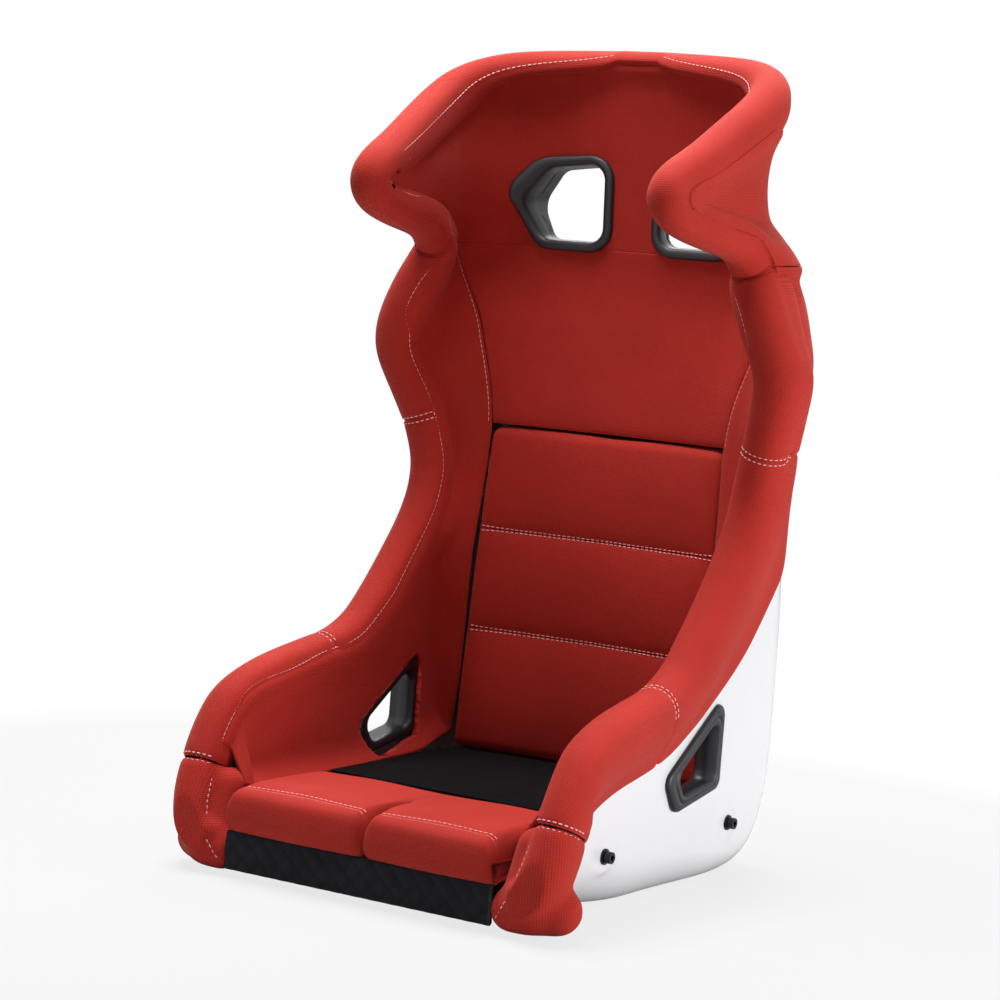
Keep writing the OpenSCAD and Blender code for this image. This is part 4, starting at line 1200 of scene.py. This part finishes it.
# ------------------------------------------------------------------------------- slot frames
for side, s in SIDES:
    flat_head = to_shoulder(head.reshape(-1, 3), s)
    flat_head = flat_head[(np.abs(flat_head[:, :2]) < 95).all(1) & (np.abs(flat_head[:, 2]) < 60)]

    def on_head(dz):
        """Height above the head panel, all round the frame's outline."""
        def height(o):
            w = np.exp(-((flat_head[:, None, :2] - o[None]) ** 2).sum(-1) / 50)
            return (w * flat_head[:, 2:]).sum(0) / w.sum(0) + dz
        return height
    front = [(g, on_head(z)) for g, z in ((4.0, -10), (4.0, 0), (3.6, 3.2), (1.6, 5.4), (-2.2, 6.0), (-5.8, 5.2),
                                          (-8, 2.6), (-9, -2), (-9.4, -8))]
    front += [(-9.8, -20.5), (-7.4, -20.5), (-7.4, on_head(-14))]
    ring = loft_frame(f"shoulder_slot_bezel_{side}", shoulder_outline, from_shoulder, s, front,
                      f"shoulder_slot_front_{side}")
    # the shoulder bezels take the lighter copy of the black plastic, which is painted light
    ring.data.materials[0] = LIT_BLACK_PLASTIC
    lap_in = [(-0.5, -5), (-0.5, -22), (-1.5, -25), (-4, -26.6), (-8, -26.8), (-11, -25.6), (-12.6, -23), (-13, -19),
              (-13, 4.4), (-8.2, 4.4), (-8.2, -5)]
    loft_frame(f"lap_slot_bezel_{side}", lap_outline, from_lap, s, lap_in[::-1], f"lap_slot_inner_{side}")
    lap_out = [(-8.0, -1.2), (-8.0, 4.4), (-5, 4.5), (-1.6, 4.0), (-0.4, 2.6), (0, 0.2), (0, -1.2)]
    loft_frame(f"lap_slot_trim_{side}", lap_outline, from_lap, s, lap_out, f"lap_slot_outer_{side}")

# ------------------------------------------------------------------------------- carried-over nodes
# the seat mat takes the darker copy of the suede, which is painted shade
PAINT = {"base_foam_rear": SUEDE, "base_foam_front": SUEDE, "seat_mat": SHADED_MAT_SUEDE,
         "mount_inserts": STEEL, "mount_washers": OXIDE, "mount_screws": OXIDE,
         "shoulder_slot_rear_left": BLACK, "shoulder_slot_rear_right": BLACK}
for name, material in PAINT.items():
    o = frame["nodes"][name]
    o.data.materials.clear()
    o.data.materials.append(material)

make_stitches(THREAD)

# ------------------------------------------------------------------------------- stage
FLOOR_TONE = 0.5
FADE_FROM, FADE_TO, FADE_LEAST = 0.35, 1.1, 0.78    # metres from the seat; the least share of white
m = Nodes("floor")
m.set("Base Color", (FLOOR_TONE, FLOOR_TONE, FLOOR_TONE, 1))
m.set("Roughness", 0.9)
# the camera sees the floor fade into the white background; the shadow near the seat stays
away = m.new("ShaderNodeVectorMath", operation="LENGTH")
m.link(m.coords(), away.inputs[0])
glow = m.new("ShaderNodeEmission")
seen = m.new("ShaderNodeLightPath").outputs["Is Camera Ray"]
fade = m.math("MAXIMUM", m.ramp(away.outputs["Value"], FADE_FROM, FADE_TO), FADE_LEAST)
blend = m.new("ShaderNodeMixShader")
m.link(m.math("MULTIPLY", seen, fade), blend.inputs[0])
m.link(m.bsdf.outputs[0], blend.inputs[1])
m.link(glow.outputs[0], blend.inputs[2])
m.link(blend.outputs[0], m.tree.nodes["Material Output"].inputs["Surface"])
me = bpy.data.meshes.new("floor")
me.from_pydata([(-6, -6, 0), (6, -6, 0), (6, 6, 0), (-6, 6, 0)], [], [[0, 1, 2, 3]])
me.materials.append(m.mat)
floor = bpy.data.objects.new("floor", me)
bpy.context.collection.objects.link(floor)
floor.location.z = cad_box[0][2] - 0.0005

scene = bpy.context.scene
scene.view_settings.view_transform = "Standard"
world = bpy.data.worlds.new("studio")
scene.world = world
world.use_nodes = True
wt = world.node_tree
back = wt.nodes["Background"]
back.inputs["Color"].default_value = (1, 1, 1, 1)
back.inputs["Strength"].default_value = 0.12
white = wt.nodes.new("ShaderNodeBackground")
white.inputs["Strength"].default_value = 1.0
white.inputs["Color"].default_value = (1, 1, 1, 1)
path = wt.nodes.new("ShaderNodeLightPath")
either = wt.nodes.new("ShaderNodeMath")
either.operation = "MAXIMUM"
pick = wt.nodes.new("ShaderNodeMixShader")
wt.links.new(path.outputs["Is Camera Ray"], either.inputs[0])
wt.links.new(path.outputs["Is Glossy Ray"], either.inputs[1])
wt.links.new(either.outputs[0], pick.inputs[0])
wt.links.new(back.outputs[0], pick.inputs[1])
wt.links.new(white.outputs[0], pick.inputs[2])
wt.links.new(pick.outputs[0], wt.nodes["World Output"].inputs["Surface"])


def lamp(name, at_m, size, watts, aim=(0, 0, 0.5)):
    d = bpy.data.lights.new(name, "AREA")
    d.shape = "RECTANGLE"
    d.size, d.size_y = size
    d.energy = watts
    o = bpy.data.objects.new(name, d)
    o.location = at_m
    o.rotation_euler = (Vector(aim) - Vector(at_m)).to_track_quat("-Z", "Y").to_euler()
    bpy.context.collection.objects.link(o)


lamp("key", (-0.4, -0.05, 3.1), (2.0, 1.6), 122)
lamp("front", (-0.9, -3.0, 1.5), (1.6, 1.4), 2.5)
lamp("side", (3.0, 0.35, 0.6), (1.6, 1.2), 58, (0.2, 0, 0.45))
lamp("rim", (-1.2, 2.4, 2.6), (1.6, 1.2), 30)

# worked out from the photo
LENS, CAMERA_AT = 104.4, (1.6845, -2.8098, 0.7029)
CAMERA_AXES = (0.85007, 0.52102, 0.07694), (-0.1095, 0.03195, 0.99347), (0.51516, -0.85295, 0.08421)
camera = bpy.data.objects.new("camera", bpy.data.cameras.new("camera"))
camera.data.sensor_width = 36
camera.data.lens = LENS
turned = Matrix([Vector(v).normalized() for v in CAMERA_AXES]).transposed().to_4x4()
camera.matrix_world = Matrix.Translation(CAMERA_AT) @ turned
camera.data.clip_end = 50
bpy.context.collection.objects.link(camera)
scene.camera = camera
